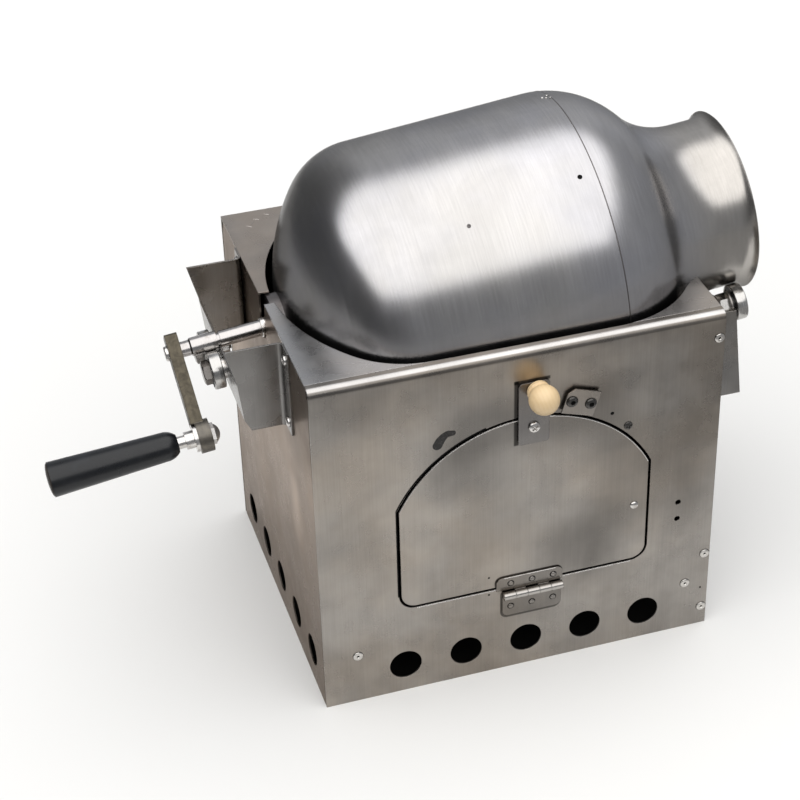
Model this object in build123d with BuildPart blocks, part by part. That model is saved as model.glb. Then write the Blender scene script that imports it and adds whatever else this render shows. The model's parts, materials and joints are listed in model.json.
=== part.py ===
from build123d import *
from math import atan2, cos, degrees, radians, sin, sqrt
import os

os.makedirs("parts", exist_ok=True)

# Hand-crank nut roaster: a bottle-shaped drum turns on ball-bearing rollers over a sheet-metal firebox.
# Millimetres. The origin is the middle of the firebox's underside, +X runs to the drum's mouth, +Z is up.
# A "station" is a distance along the drum's tilted axis, and w a distance up from it, square to the axis.

# Firebox sizes
box_width = 330.0
box_height = 306.0
sheet = 1.5
top_bend_radius = 6.5
top_flange = 10.0
corner_flange = 14.0
corner_bend_radius = 3.0
seam_gap = 0.2
vent_diameter = 26.8
vent_count = 5
front_vent_pitch = 51.3
front_vent_centre = 5.0
front_vent_height = 27.0
side_vent_pitch = 50.0
side_vent_height = 30.0
panel_centre = 3.6
accessory_hole_diameter = 4.8
accessory_hole_spacing = 16.5
accessory_inset = 31.0
accessory_height = 124.8

# Drum sizes
drum_tilt = 6.1
axis_drop = 8.2
drum_radius = 123.5
drum_wall = 1.2
drum_side_gap = 13.5
crown_radius = 157.0
knuckle_radius = 62.5
shoulder_radius = 82.5
throat_radius = 65.0
neck_radius = 69.0
track_length = 16.4
track_margin = 0.2
flare_radius = 13.4
flare_length = 10.0
seam_past_body = 12.0
opening_gap = 5.5
fin_count = 3
fin_angle = 129.0
fin_height = 25.0
fin_thickness = 1.5
fin_inset = 6.0
fin_gap = 0.05

# Shaft and crank sizes
shaft_radius = 6.5
journal_step = 1.0
spigot_step = 1.3
stud_radius = 5.0
hub_radius = 24.0
hub_thickness = 7.0
hub_gap = 0.7
collar_wall = 1.4
collar_length = 9.0
collar_groove = 0.9
groove_depth = 1.2
slot_gap = 1.2
journal_overhang = 10.3
spigot_length = 7.0
arm_thickness = 10.0
arm_width = 17.0
arm_length = 70.0
arm_heel = 13.5
arm_angle = 225.0
arm_corner_radius = 3.0
eye_radius = 13.0
eye_thickness = 10.5
eye_offset = 3.5
arm_screw_radius = 6.0
arm_screw_height = 3.0
fit = 0.03
running = 0.05

# Grip sizes
spindle_radius = 4.0
washer_radius = 11.0
washer_thickness = 3.0
stem_radius = 7.0
stem_length = 7.0
stem_end_radius = 5.0
stem_end_length = 6.0
grip_length = 103.0
grip_root_radius = 7.0
grip_shoulder = 9.0
grip_shoulder_bulge = 1.0
grip_small_radius = 11.5
grip_large_radius = 14.0
grip_edge_radius = 1.5
grip_cap_thickness = 2.5
spindle_head_radius = 8.0
spindle_head_length = 4.0
spindle_head_room = 0.3
cap_nut_flats = 15.0
cap_nut_height = 3.0
cap_nut_dome = 4.2

# Roller sizes: 10 x 30 x 9 mm shielded ball bearings on M10 bolts
roller_radius = 15.0
roller_width = 9.0
roller_inner_radius = 8.5
roller_ring_wall = 3.0
roller_edge = 0.6
shield_thickness = 0.8
shield_recess = 0.4
roller_gap = 0.25
axle_radius = 5.0
axle_head_flats = 17.0
left_head_height = 6.4
right_head_height = 2.2
axle_nut_height = 8.0
axle_end = 2.0
left_roller_gap = 2.0
right_roller_spread = 58.0
left_spacer = 3.0
right_spacer = 2.4

# Roller bracket sizes
bracket_sheet = 1.5
bracket_bend_radius = 4.0
tab_width = 18.0
tab_screw_radius = 4.0
tab_screw_height = 2.4
tab_screw_inset = 9.0
head_dome = 0.7
left_web_reach = 38.5
left_flange_spread = 66.0
left_flange_height = 74.0
left_flange_head = 45.0
left_flange_foot = 28.5
left_web_lift = 10.0
left_web_rise = -2.5
web_groove_gap = 0.5
right_web_reach = 35.5
right_flange_spread = 74.0
right_flange_drop = 44.0
right_flange_height = 81.0
right_web_gap = 6.5
right_ear_radius = 12.5

# Door, hinge and latch sizes
door_width = 205.6
door_bottom = 86.0
door_side_height = 95.0
door_arch_rise = 64.0
door_corner_radius = 12.0
door_gap = 2.2
hardware_offset = 5.7
hinge_drop = 7.7
hinge_width = 50.0
hinge_lower_height = 22.5
hinge_upper_height = 16.5
hinge_upper_margin = 3.0
hinge_upper_shift = -2.0
hinge_leaf_sheet = 1.4
hinge_leaf_radius = 5.0
hinge_pin_radius = 2.2
hinge_knuckles = 5
hinge_side_gap = 0.2
hinge_standoff = 0.3
hinge_screw_pitch = 18.0
hinge_screw_radius = 3.2
hinge_screw_height = 1.2
latch_width = 25.0
latch_sheet = 1.6
latch_below = 15.4
latch_above = 40.6
latch_corner_radius = 3.0
latch_pivot_drop = 7.6
latch_gap = 0.3
pivot_radius = 2.5
pivot_head_radius = 4.6
pivot_head_height = 2.6
pivot_nut_flats = 8.0
pivot_nut_height = 4.0
knob_offset = 2.3
knob_reach = 33.4
knob_base_radius = 9.0
knob_base_length = 4.8
knob_base_edge = 1.2
knob_groove_radius = 7.8
knob_groove_length = 5.6
knob_ball_radius = 11.9
knob_screw_radius = 2.0
knob_screw_taper = 1.4
knob_screw_length = 12.0
keeper_offset = 37.6
keeper_rise = 14.6
keeper_width = 27.0
keeper_height = 22.0
keeper_sheet = 1.2
keeper_turn = -18.0
keeper_gap = 0.3
keeper_bevel = 5.0
keeper_screw_pitch = 16.0
keeper_spacer_radius = 4.0
keeper_screw_radius = 4.6
keeper_screw_height = 2.4

# Rivets, ledges and grate sizes
rivet_radius = 4.0
rivet_height = 1.5
corner_rivet_inset = 4.6
corner_rivet_low = 18.0
corner_rivet_middle = 74.0
corner_rivet_drop = 22.0
ledge_leg = 12.4
ledge_shelf = 18.0
ledge_end_gap = 5.0
ledge_top = 53.0
ledge_rivet_inset = 5.3
grate_bar_count = 13
grate_side_gap = 11.0
grate_bar_width = 6.0
grate_bar_height = 4.0
grate_end_gap = 2.0
grate_rail_spread = 80.0

# Planes and places worked out from the sizes
box_depth = 2 * (drum_radius + drum_side_gap + sheet)
front = -box_depth / 2
side = box_width / 2
front_plane = Plane.XZ.offset(-front)
rear_plane = Plane(origin=(0, -front, 0), x_dir=(-1, 0, 0), z_dir=(0, 1, 0))
left_wall = Plane(origin=(-side, 0, 0), x_dir=(0, -1, 0), z_dir=(-1, 0, 0))
right_wall = Plane(origin=(side, 0, 0), x_dir=(0, 1, 0), z_dir=(1, 0, 0))
wall_top = box_height - sheet
tilt = radians(drum_tilt)
axis_height = box_height - axis_drop
axis_start = Vector(0, 0, axis_height)
axis_way = Vector(cos(tilt), 0, sin(tilt))
drum_axis = Axis(axis_start, axis_way)
axis_section = Plane(origin=axis_start, x_dir=axis_way, z_dir=(0, -1, 0))

journal_radius = shaft_radius + journal_step
spigot_radius = journal_radius - spigot_step
groove_radius = shaft_radius - groove_depth
collar_radius = shaft_radius + collar_wall
collar_station = sheet - side
left_web_station = -side - left_web_reach
right_web_station = side + right_web_reach
left_roller_station = left_web_station - left_spacer - roller_width / 2
right_roller_station = right_web_station + right_spacer + roller_width / 2

dome_tip = collar_station + collar_length / 2 + hub_gap + hub_thickness
crown_centre = dome_tip + crown_radius
body_start = crown_centre - sqrt((crown_radius - knuckle_radius) ** 2 - (drum_radius - knuckle_radius) ** 2)
crown_angle = degrees(atan2(drum_radius - knuckle_radius, body_start - crown_centre))
track_end = right_roller_station + roller_width / 2 + track_margin
neck_start = track_end - track_length
throat_drop = neck_radius + throat_radius - drum_radius + shoulder_radius
body_end = neck_start - sqrt((shoulder_radius + throat_radius) ** 2 - throat_drop**2)
body_length = body_end - body_start
shoulder_angle = degrees(atan2(throat_drop, neck_start - body_end))
flare_angle = degrees(atan2(flare_length, sqrt(flare_radius**2 - flare_length**2)))
seam_station = body_end + seam_past_body

shaft_end = left_roller_station - roller_width / 2 - journal_overhang
arm_inner = shaft_end - spigot_length
arm_outer = arm_inner - arm_thickness
eye_inner = arm_inner + eye_offset
eye_outer = eye_inner - eye_thickness
eye_y = arm_length * cos(radians(arm_angle))
eye_w = arm_length * sin(radians(arm_angle))
grip_start = eye_outer - washer_thickness - stem_length - stem_end_length
grip_end = grip_start - grip_length
spindle_head_start = grip_end + grip_cap_thickness + spindle_head_length + 2 * spindle_head_room

left_roller_spread = roller_radius + left_roller_gap / 2
left_reach = journal_radius + roller_gap + roller_radius
right_reach = neck_radius + roller_gap + roller_radius
left_roller_w = -sqrt(left_reach**2 - left_roller_spread**2)
right_roller_w = -sqrt(right_reach**2 - right_roller_spread**2)
left_flange_bottom = box_height - left_flange_height
left_web_bottom = left_flange_bottom + left_web_lift
right_flange_top = box_height - right_flange_drop
right_flange_bottom = right_flange_top - right_flange_height

door_crown = door_bottom + door_side_height + door_arch_rise
hardware_centre = panel_centre + hardware_offset
hinge_height = door_bottom - hinge_drop
latch_pivot_height = door_crown - latch_pivot_drop
knob_x = hardware_centre + knob_offset
knob_height = latch_pivot_height + knob_reach
ledge_length = 2 * (side - corner_flange - ledge_end_gap)


def across(station, y=0.0, w=0.0):
    """Plane square to the drum's axis, with its origin moved sideways by y and outward by w."""
    at_station = Plane(origin=axis_start + axis_way * station, x_dir=(0, 1, 0), z_dir=axis_way)
    return Plane(origin=at_station.from_local_coords((y, w, 0)), x_dir=(0, 1, 0), z_dir=axis_way)


def station_x(station, height):
    """X of the plane square to the drum's axis at a station, at a height above the ground."""
    return (station - (height - axis_height) * sin(tilt)) / cos(tilt)


def height_w(station, height):
    """Distance from the axis, measured up the plane at a station, of a height above the ground."""
    return (height - axis_height - station * sin(tilt)) / cos(tilt)


def write_piece(piece, name):
    """Labels a finished piece and writes it as its own file."""
    piece.part.label = name
    export_step(piece.part, f"parts/{name}.step")


def drum_line(inset):
    """Half section of the drum from the dome's tip to the mouth, moved inward by the inset."""
    with BuildLine() as half:
        CenterArc((crown_centre, 0), crown_radius - inset, 180, crown_angle - 180)
        knuckle = (body_start, drum_radius - knuckle_radius)
        CenterArc(knuckle, knuckle_radius - inset, crown_angle, 90 - crown_angle)
        Line((body_start, drum_radius - inset), (body_end, drum_radius - inset))
        shoulder = (body_end, drum_radius - shoulder_radius)
        CenterArc(shoulder, shoulder_radius - inset, 90, shoulder_angle - 90)
        throat = (neck_start, neck_radius + throat_radius)
        CenterArc(throat, throat_radius + inset, 180 + shoulder_angle, 90 - shoulder_angle)
        Line((neck_start, neck_radius - inset), (track_end, neck_radius - inset))
        CenterArc((track_end, neck_radius + flare_radius), flare_radius + inset, 270, flare_angle)
    return half.line


def drum_solid(inset):
    """Edges of the closed half section between the drum's line and its axis."""
    line = drum_line(inset)
    with BuildLine() as section:
        add(line)
        Polyline(line @ 1, ((line @ 1).X, 0), line @ 0)
    return section.edges()


def door_outline(grow):
    """Edges of the arched door, or of its opening when grown by the gap."""
    half = door_width / 2 + grow
    low = door_bottom - grow
    high = door_bottom + door_side_height
    with BuildLine() as outline:
        corners = FilletPolyline(
            (panel_centre - half, high),
            (panel_centre - half, low),
            (panel_centre + half, low),
            (panel_centre + half, high),
            radius=door_corner_radius + grow,
        )
        ThreePointArc(corners @ 1, (panel_centre, door_crown + grow), corners @ 0)
    return outline.edges()


# Room cut through the panels for the turning drum
with BuildPart() as drum_room:
    with BuildSketch(axis_section):
        make_face(drum_solid(-opening_gap))
    revolve(axis=drum_axis)

# Front panel, bent over at the top, with the door opening and the row of vents
with BuildPart() as front_panel:
    with BuildSketch(Plane.YZ):
        with BuildLine():
            FilletPolyline(
                (front + sheet / 2, 0),
                (front + sheet / 2, box_height - sheet / 2),
                (front + top_flange, box_height - sheet / 2),
                radius=top_bend_radius - sheet / 2,
            )
        trace(line_width=sheet)
    extrude(amount=side, both=True)
    add(drum_room.part, mode=Mode.SUBTRACT)
    with BuildSketch(front_plane):
        make_face(door_outline(door_gap))
        with Locations((front_vent_centre, front_vent_height)):
            with GridLocations(front_vent_pitch, 0, vent_count, 1):
                Circle(vent_diameter / 2)
        with Locations((side - accessory_inset, accessory_height)):
            with GridLocations(0, accessory_hole_spacing, 1, 2):
                Circle(accessory_hole_diameter / 2)
    extrude(amount=-2 * sheet, mode=Mode.SUBTRACT)
write_piece(front_panel, "front_panel")

# Rear panel, a plain closed sheet
with BuildPart() as rear_panel:
    with BuildSketch(Plane.XZ.offset(front + sheet)):
        with Locations((0, wall_top / 2)):
            Rectangle(box_width, wall_top)
    extrude(amount=-sheet)
write_piece(rear_panel, "rear_panel")


def side_wall(way):
    """A wall with two corner flanges and a row of vents; way is -1 for the left wall and 1 for the right."""
    middle = way * (side - sheet / 2)
    depth = box_depth / 2 - 1.5 * sheet
    reach = way * (side - corner_flange)
    with BuildPart() as wall:
        with BuildSketch(Plane.XY):
            with BuildLine():
                FilletPolyline(
                    (reach, -depth),
                    (middle, -depth),
                    (middle, depth),
                    (reach, depth),
                    radius=corner_bend_radius - sheet / 2,
                )
            trace(line_width=sheet)
        extrude(amount=wall_top - top_bend_radius)
        with BuildSketch(Plane.YZ.offset(middle)):
            with Locations((0, wall_top - top_bend_radius / 2)):
                Rectangle(box_depth - 2 * top_bend_radius, top_bend_radius)
        extrude(amount=sheet / 2, both=True)
        with BuildSketch(Plane.YZ.offset(middle)):
            with Locations((0, side_vent_height)):
                with GridLocations(side_vent_pitch, 0, vent_count, 1):
                    Circle(vent_diameter / 2)
        extrude(amount=sheet, both=True, mode=Mode.SUBTRACT)
    return wall.part


# Left panel, slotted from the top for the shaft
collar_swing = collar_radius + slot_gap
shaft_wall_height = axis_height + collar_station * sin(tilt)
with BuildPart() as left_panel:
    add(side_wall(-1))
    with BuildSketch(Plane.YZ.offset(-side)):
        with Locations((0, shaft_wall_height)):
            Circle(collar_swing)
        with Locations((0, (shaft_wall_height + box_height) / 2)):
            Rectangle(2 * collar_swing, box_height - shaft_wall_height)
    extrude(amount=2 * sheet, mode=Mode.SUBTRACT)
write_piece(left_panel, "left_panel")

# Right panel, cut out round the neck
with BuildPart() as right_panel:
    add(side_wall(1))
    add(drum_room.part, mode=Mode.SUBTRACT)
write_piece(right_panel, "right_panel")

# Base plate between the walls
with BuildPart() as base_plate:
    with BuildSketch(Plane.XY):
        RectangleRounded(box_width - 2 * sheet, box_depth - 4 * sheet, corner_bend_radius)
    extrude(amount=sheet)
write_piece(base_plate, "base_plate")

# Top plates: a corner plate each side of the drum in front, and one plate behind it
top_front_edge = front + top_flange + seam_gap
for name, way in (("top_front_left", -1), ("top_front_right", 1)):
    with BuildPart() as top_corner:
        with BuildSketch(Plane.XY.offset(wall_top)):
            with Locations((way * side / 2, (top_front_edge - collar_swing) / 2)):
                Rectangle(side, -collar_swing - top_front_edge)
        extrude(amount=sheet)
        add(drum_room.part, mode=Mode.SUBTRACT)
    write_piece(top_corner, name)

with BuildPart() as top_rear:
    with BuildSketch(Plane.XY.offset(wall_top)):
        with Locations((0, (collar_swing - front) / 2)):
            Rectangle(box_width, -front - collar_swing)
    extrude(amount=sheet)
    add(drum_room.part, mode=Mode.SUBTRACT)
write_piece(top_rear, "top_rear")


def cheek_line(wall, web_reach, way, spread, tab):
    """Plan view of one bracket cheek and its wall tab; way is -1 for the front cheek and 1 for the rear."""
    with BuildLine() as plan:
        FilletPolyline(
            (web_reach, way * spread),
            (wall, way * spread),
            (wall, way * (spread + tab)),
            radius=bracket_bend_radius,
        )
    return plan.edges()


def dome_heads(name, rows, radius, height):
    """A group of domed screw or rivet heads; each row is a plane and the places of the heads on it."""
    with BuildPart() as heads:
        for plane, places in rows:
            with BuildSketch(plane):
                with Locations(*places):
                    Circle(radius)
            extrude(amount=height)
            circles = heads.edges().filter_by(GeomType.CIRCLE)
            rims = circles.filter_by(lambda edge: plane.to_local_coords(edge.center()).Z > height / 2)
            fillet(rims, head_dome * height)
    write_piece(heads, name)


# Left roller bracket: two cheeks with tabs bent outward, and a web whose notch sits in the shaft's groove
notch_radius = groove_radius + web_groove_gap
left_tab_middle = -side - bracket_sheet / 2
left_cheek_top = -side - left_flange_head
left_web_foot = station_x(left_web_station, left_web_bottom)
left_axis_height = axis_height + left_web_station * sin(tilt)
with BuildPart() as left_bracket:
    with BuildSketch(Plane.XY.offset(left_flange_bottom)):
        for way in (-1, 1):
            cheek = cheek_line(left_tab_middle, left_cheek_top, way, left_flange_spread, tab_width)
            trace(cheek, line_width=bracket_sheet)
    extrude(amount=box_height - left_flange_bottom)
    with BuildSketch(Plane.XZ):
        with BuildLine():
            Polyline(
                (left_cheek_top, box_height),
                (station_x(left_web_station, left_axis_height), left_axis_height),
                (left_web_foot, left_web_bottom),
                (-side - left_flange_foot, left_flange_bottom),
                (-side, left_flange_bottom),
                (-side, box_height),
                close=True,
            )
        make_face()
    extrude(amount=left_flange_spread + tab_width, both=True, mode=Mode.INTERSECT)
    with BuildSketch(across(left_web_station)):
        web_low = height_w(left_web_station, left_web_bottom)
        with Locations((0, (web_low + left_web_rise) / 2)):
            Rectangle(2 * left_flange_spread, left_web_rise - web_low)
        Circle(notch_radius, mode=Mode.SUBTRACT)
        with Locations((-left_roller_spread, left_roller_w), (left_roller_spread, left_roller_w)):
            Circle(axle_radius + fit, mode=Mode.SUBTRACT)
    extrude(amount=bracket_sheet)
write_piece(left_bracket, "left_bracket")

# Right roller bracket: lower and wider, with a web cut round the neck and an ear round each roller bolt
right_tab_middle = side + bracket_sheet / 2
right_web_top = station_x(right_web_station, right_flange_top)
right_web_foot = station_x(right_web_station, right_flange_bottom)
with BuildPart() as right_bracket:
    with BuildSketch(Plane.XY.offset(right_flange_bottom)):
        for way in (-1, 1):
            cheek = cheek_line(right_tab_middle, right_web_foot, way, right_flange_spread, -tab_width)
            trace(cheek, line_width=bracket_sheet)
    extrude(amount=right_flange_top - right_flange_bottom)
    with BuildSketch(Plane.XZ):
        with BuildLine():
            Polyline(
                (right_web_top, right_flange_top),
                (right_web_foot, right_flange_bottom),
                (side, right_flange_bottom),
                (side, right_flange_top),
                close=True,
            )
        make_face()
    extrude(amount=right_flange_spread + bracket_sheet, both=True, mode=Mode.INTERSECT)
    with BuildSketch(across(right_web_station)):
        web_low = height_w(right_web_station, right_flange_bottom)
        web_high = height_w(right_web_station, right_flange_top)
        with Locations((0, (web_low + web_high) / 2)):
            Rectangle(2 * right_flange_spread, web_high - web_low)
        with Locations((-right_roller_spread, right_roller_w), (right_roller_spread, right_roller_w)):
            Circle(right_ear_radius)
        Circle(neck_radius + right_web_gap, mode=Mode.SUBTRACT)
        with Locations((-right_roller_spread, right_roller_w), (right_roller_spread, right_roller_w)):
            Circle(axle_radius + fit, mode=Mode.SUBTRACT)
    extrude(amount=-bracket_sheet)
    add(drum_room.part, mode=Mode.SUBTRACT)
write_piece(right_bracket, "right_bracket")

# Screws through the wall tabs of both brackets
tab_reach = (tab_width + bracket_bend_radius) / 2
left_tab_y = left_flange_spread + tab_reach
right_tab_y = right_flange_spread - tab_reach
for name, plane, tab_y, low, high in (
    ("left_bracket_screws", left_wall, left_tab_y, left_flange_bottom, box_height),
    ("right_bracket_screws", right_wall, right_tab_y, right_flange_bottom, right_flange_top),
):
    heights = (low + tab_screw_inset, high - tab_screw_inset)
    places = [(way * tab_y, height) for way in (-1, 1) for height in heights]
    dome_heads(name, [(plane.offset(bracket_sheet), places)], tab_screw_radius, tab_screw_height)


def drum_shell(keep):
    """The drum's wall on one side of the weld seam."""
    outer = drum_line(0)
    inner = drum_line(drum_wall)
    with BuildPart() as shell:
        with BuildSketch(axis_section):
            with BuildLine():
                add(outer)
                add(inner)
                Line(outer @ 0, inner @ 0)
                Line(outer @ 1, inner @ 1)
            make_face()
        revolve(axis=drum_axis)
        split(bisect_by=across(seam_station), keep=keep)
    return shell


# Drum body and drum neck, welded together at the seam
write_piece(drum_shell(Keep.BOTTOM), "drum_body")
write_piece(drum_shell(Keep.TOP), "drum_neck")

# Stirring fins along the inside of the drum body
fin_root = sqrt((drum_radius - drum_wall) ** 2 - (fin_thickness / 2) ** 2) - fin_gap
for number in range(fin_count):
    with BuildPart() as fin:
        with BuildSketch(across(body_start + fin_inset)):
            with PolarLocations(0, 1, fin_angle + number * 360 / fin_count):
                with Locations((fin_root - fin_height / 2, 0)):
                    Rectangle(fin_height, fin_thickness)
        extrude(amount=body_length - 2 * fin_inset)
    write_piece(fin, f"stirring_fin_{number + 1}")

# Hub welded on the dome, bored for the shaft
with BuildPart() as dome:
    with BuildSketch(axis_section):
        make_face(drum_solid(0))
    revolve(axis=drum_axis)

with BuildPart() as shaft_hub:
    with BuildSketch(across(dome_tip - hub_thickness)):
        Circle(hub_radius)
        Circle(shaft_radius + fit, mode=Mode.SUBTRACT)
    extrude(amount=2 * hub_thickness)
    add(dome.part, mode=Mode.SUBTRACT)
write_piece(shaft_hub, "shaft_hub")

# Shaft with the groove for the bracket's notch, the rollers' journal, the spigot and the arm's stud
groove_half = bracket_sheet / 2 + web_groove_gap
groove_station = left_web_station + bracket_sheet / 2
with BuildPart() as crank_shaft:
    with BuildSketch(axis_section):
        with BuildLine():
            Polyline(
                (dome_tip, 0),
                (dome_tip, shaft_radius),
                (groove_station + groove_half, shaft_radius),
                (groove_station + groove_half, groove_radius),
                (groove_station - groove_half, groove_radius),
                (groove_station - groove_half, journal_radius),
                (shaft_end + journal_radius - spigot_radius, journal_radius),
                (shaft_end, spigot_radius),
                (arm_inner, spigot_radius),
                (arm_inner, stud_radius),
                (arm_outer, stud_radius),
                (arm_outer, 0),
                close=True,
            )
        make_face()
    revolve(axis=drum_axis)
write_piece(crank_shaft, "crank_shaft")

# Collar of two rings where the shaft passes the wall
with BuildPart() as shaft_collar:
    with BuildSketch(axis_section):
        with BuildLine():
            low = collar_station - collar_length / 2
            Polyline(
                (low, shaft_radius + fit),
                (low, collar_radius),
                (collar_station - collar_groove, collar_radius),
                (collar_station, collar_radius - collar_groove),
                (collar_station + collar_groove, collar_radius),
                (low + collar_length, collar_radius),
                (low + collar_length, shaft_radius + fit),
                close=True,
            )
        make_face()
    revolve(axis=drum_axis)
    fillet(shaft_collar.edges().filter_by(GeomType.CIRCLE).sort_by(drum_axis)[0:2], collar_groove / 2)
write_piece(shaft_collar, "shaft_collar")

# Crank arm: a flat bar with a round eye set inward at its free end
with BuildPart() as crank_arm:
    with BuildSketch(across(arm_inner)):
        with PolarLocations(0, 1, arm_angle):
            with Locations(((arm_length - arm_heel) / 2, 0)):
                RectangleRounded(arm_length + arm_heel, arm_width, arm_corner_radius)
    extrude(amount=-arm_thickness)
    with BuildSketch(across(eye_inner, eye_y, eye_w)):
        Circle(eye_radius)
    extrude(amount=-eye_thickness)
    with BuildSketch(across(arm_inner)):
        Circle(stud_radius + fit)
    extrude(amount=-arm_thickness, mode=Mode.SUBTRACT)
    with BuildSketch(across(eye_inner, eye_y, eye_w)):
        Circle(spindle_radius + fit)
    extrude(amount=-eye_thickness - arm_thickness, mode=Mode.SUBTRACT)
    with BuildSketch(across(eye_outer, eye_y, eye_w)):
        Circle(eye_radius)
    extrude(amount=-arm_thickness, mode=Mode.SUBTRACT)
write_piece(crank_arm, "crank_arm")

# Screw that holds the arm on the shaft
with BuildPart() as arm_screw:
    with BuildSketch(across(arm_outer)):
        Circle(arm_screw_radius)
    extrude(amount=-arm_screw_height)
    fillet(arm_screw.edges().sort_by(drum_axis)[0], arm_screw_height / 2)
write_piece(arm_screw, "arm_screw")

# Spindle that carries the grip, with its collar, stem and inner head
eye_section = Plane(origin=across(0, eye_y, eye_w).origin, x_dir=axis_way, z_dir=(0, -1, 0))
eye_axis = Axis(eye_section.origin, axis_way)
with BuildPart() as handle_spindle:
    with BuildSketch(eye_section):
        with BuildLine():
            washer_end = eye_outer - washer_thickness
            stem_end = washer_end - stem_length
            Polyline(
                (eye_inner + cap_nut_height, 0),
                (eye_inner + cap_nut_height, spindle_radius),
                (eye_outer, spindle_radius),
                (eye_outer, washer_radius),
                (washer_end, washer_radius),
                (washer_end, stem_radius),
                (stem_end, stem_radius),
                (stem_end, stem_end_radius),
                (grip_start + running, stem_end_radius),
                (grip_start + running, spindle_radius),
                (spindle_head_start, spindle_radius),
                (spindle_head_start, spindle_head_radius),
                (spindle_head_start - spindle_head_length, spindle_head_radius),
                (spindle_head_start - spindle_head_length, 0),
                close=True,
            )
        make_face()
    revolve(axis=eye_axis)
write_piece(handle_spindle, "handle_spindle")

# Cap nut on the inner side of the eye
with BuildPart() as cap_nut:
    with BuildSketch(across(eye_inner, eye_y, eye_w)):
        RegularPolygon(cap_nut_flats / 2, 6, major_radius=False)
    extrude(amount=cap_nut_height)
    with BuildSketch(eye_section):
        with BuildLine():
            dome_base = eye_inner + cap_nut_height
            dome_rim = cap_nut_flats / 2
            dome_radius = (dome_rim**2 + cap_nut_dome**2) / (2 * cap_nut_dome)
            dome_tip_u = dome_base + cap_nut_dome
            RadiusArc((dome_base, dome_rim), (dome_tip_u, 0), dome_radius)
            Polyline((dome_tip_u, 0), (dome_base, 0), (dome_base, dome_rim))
        make_face()
    revolve(axis=eye_axis)
    with BuildSketch(across(eye_inner, eye_y, eye_w)):
        Circle(spindle_radius + fit)
    extrude(amount=cap_nut_height + fit, mode=Mode.SUBTRACT)
write_piece(cap_nut, "cap_nut")

# Tapered grip that turns on the spindle, and the cap that closes its end
head_room_start = spindle_head_start + spindle_head_room
head_room_radius = spindle_head_radius + spindle_head_room
with BuildPart() as grip:
    with BuildSketch(eye_section):
        with BuildLine():
            Line((grip_start, spindle_radius + running), (grip_start, grip_root_radius))
            shoulder_end = (grip_start - grip_shoulder, grip_small_radius)
            shoulder_rise = (grip_root_radius + grip_small_radius) / 2 + grip_shoulder_bulge
            shoulder_mid = (grip_start - grip_shoulder / 2, shoulder_rise)
            ThreePointArc((grip_start, grip_root_radius), shoulder_mid, shoulder_end)
            Polyline(
                shoulder_end,
                (grip_end + grip_cap_thickness, grip_large_radius),
                (grip_end + grip_cap_thickness, head_room_radius),
                (head_room_start, head_room_radius),
                (head_room_start, spindle_radius + running),
                (grip_start, spindle_radius + running),
            )
        make_face()
    revolve(axis=eye_axis)
write_piece(grip, "grip")

with BuildPart() as grip_cap:
    with BuildSketch(across(grip_end, eye_y, eye_w)):
        Circle(grip_large_radius)
    extrude(amount=grip_cap_thickness)
    fillet(grip_cap.edges().sort_by(drum_axis)[0], grip_edge_radius)
write_piece(grip_cap, "grip_cap")


def roller_section(station, y, w):
    """Plane through a roller's axis, with the axis as its x direction and the roller's middle as origin."""
    return Plane(origin=across(station, y, w).origin, x_dir=axis_way, z_dir=(0, -1, 0))


roller_places = {
    "left_front": (left_roller_station, -left_roller_spread, left_roller_w),
    "left_rear": (left_roller_station, left_roller_spread, left_roller_w),
    "right_front": (right_roller_station, -right_roller_spread, right_roller_w),
    "right_rear": (right_roller_station, right_roller_spread, right_roller_w),
}

# Each roller is a bearing: an outer ring with its shields turns round a fixed inner ring
half_width = roller_width / 2
for name, place in roller_places.items():
    section = roller_section(*place)
    with BuildPart() as outer_ring:
        with BuildSketch(section):
            with Locations((0, roller_radius - roller_ring_wall / 2)):
                rim = Rectangle(roller_width, roller_ring_wall)
            chamfer(rim.vertices().group_by(Axis.Y)[-1], roller_edge)
            shield_span = roller_radius - roller_ring_wall - roller_inner_radius - running
            shield_middle = roller_inner_radius + running + shield_span / 2
            for way in (-1, 1):
                with Locations((way * (half_width - shield_recess - shield_thickness / 2), shield_middle)):
                    Rectangle(shield_thickness, shield_span)
        revolve(axis=Axis(section.origin, axis_way))
    write_piece(outer_ring, f"{name}_roller")
    with BuildPart() as inner_ring:
        with BuildSketch(section):
            with Locations((0, (roller_inner_radius + axle_radius + fit) / 2)):
                Rectangle(roller_width, roller_inner_radius - axle_radius - fit)
        revolve(axis=Axis(section.origin, axis_way))
    write_piece(inner_ring, f"{name}_inner_ring")


def axle_set(name, web_outer, roller_station, spacer, spread, w, head_height, way):
    """Bolts, nuts and spacers of one roller pair; way points from the web out to the bolt heads."""
    head_face = roller_station + way * half_width
    web_inner = web_outer - way * bracket_sheet
    bolt_tip = web_inner - way * (axle_nut_height + axle_end)
    with BuildPart() as bolts:
        for y in (-spread, spread):
            with BuildSketch(across(head_face, y, w)):
                RegularPolygon(axle_head_flats / 2, 6, major_radius=False)
            extrude(amount=way * head_height)
            with BuildSketch(across(head_face, y, w)):
                Circle(axle_radius)
            extrude(amount=bolt_tip - head_face)
    write_piece(bolts, f"{name}_axle_bolts")
    with BuildPart() as nuts:
        for y in (-spread, spread):
            with BuildSketch(across(web_inner, y, w)):
                RegularPolygon(axle_head_flats / 2, 6, major_radius=False)
                Circle(axle_radius + fit, mode=Mode.SUBTRACT)
            extrude(amount=-way * axle_nut_height)
    write_piece(nuts, f"{name}_axle_nuts")
    with BuildPart() as spacers:
        for y in (-spread, spread):
            with BuildSketch(across(web_outer, y, w)):
                Circle(roller_inner_radius)
                Circle(axle_radius + fit, mode=Mode.SUBTRACT)
            extrude(amount=way * spacer)
    write_piece(spacers, f"{name}_axle_spacers")


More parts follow.
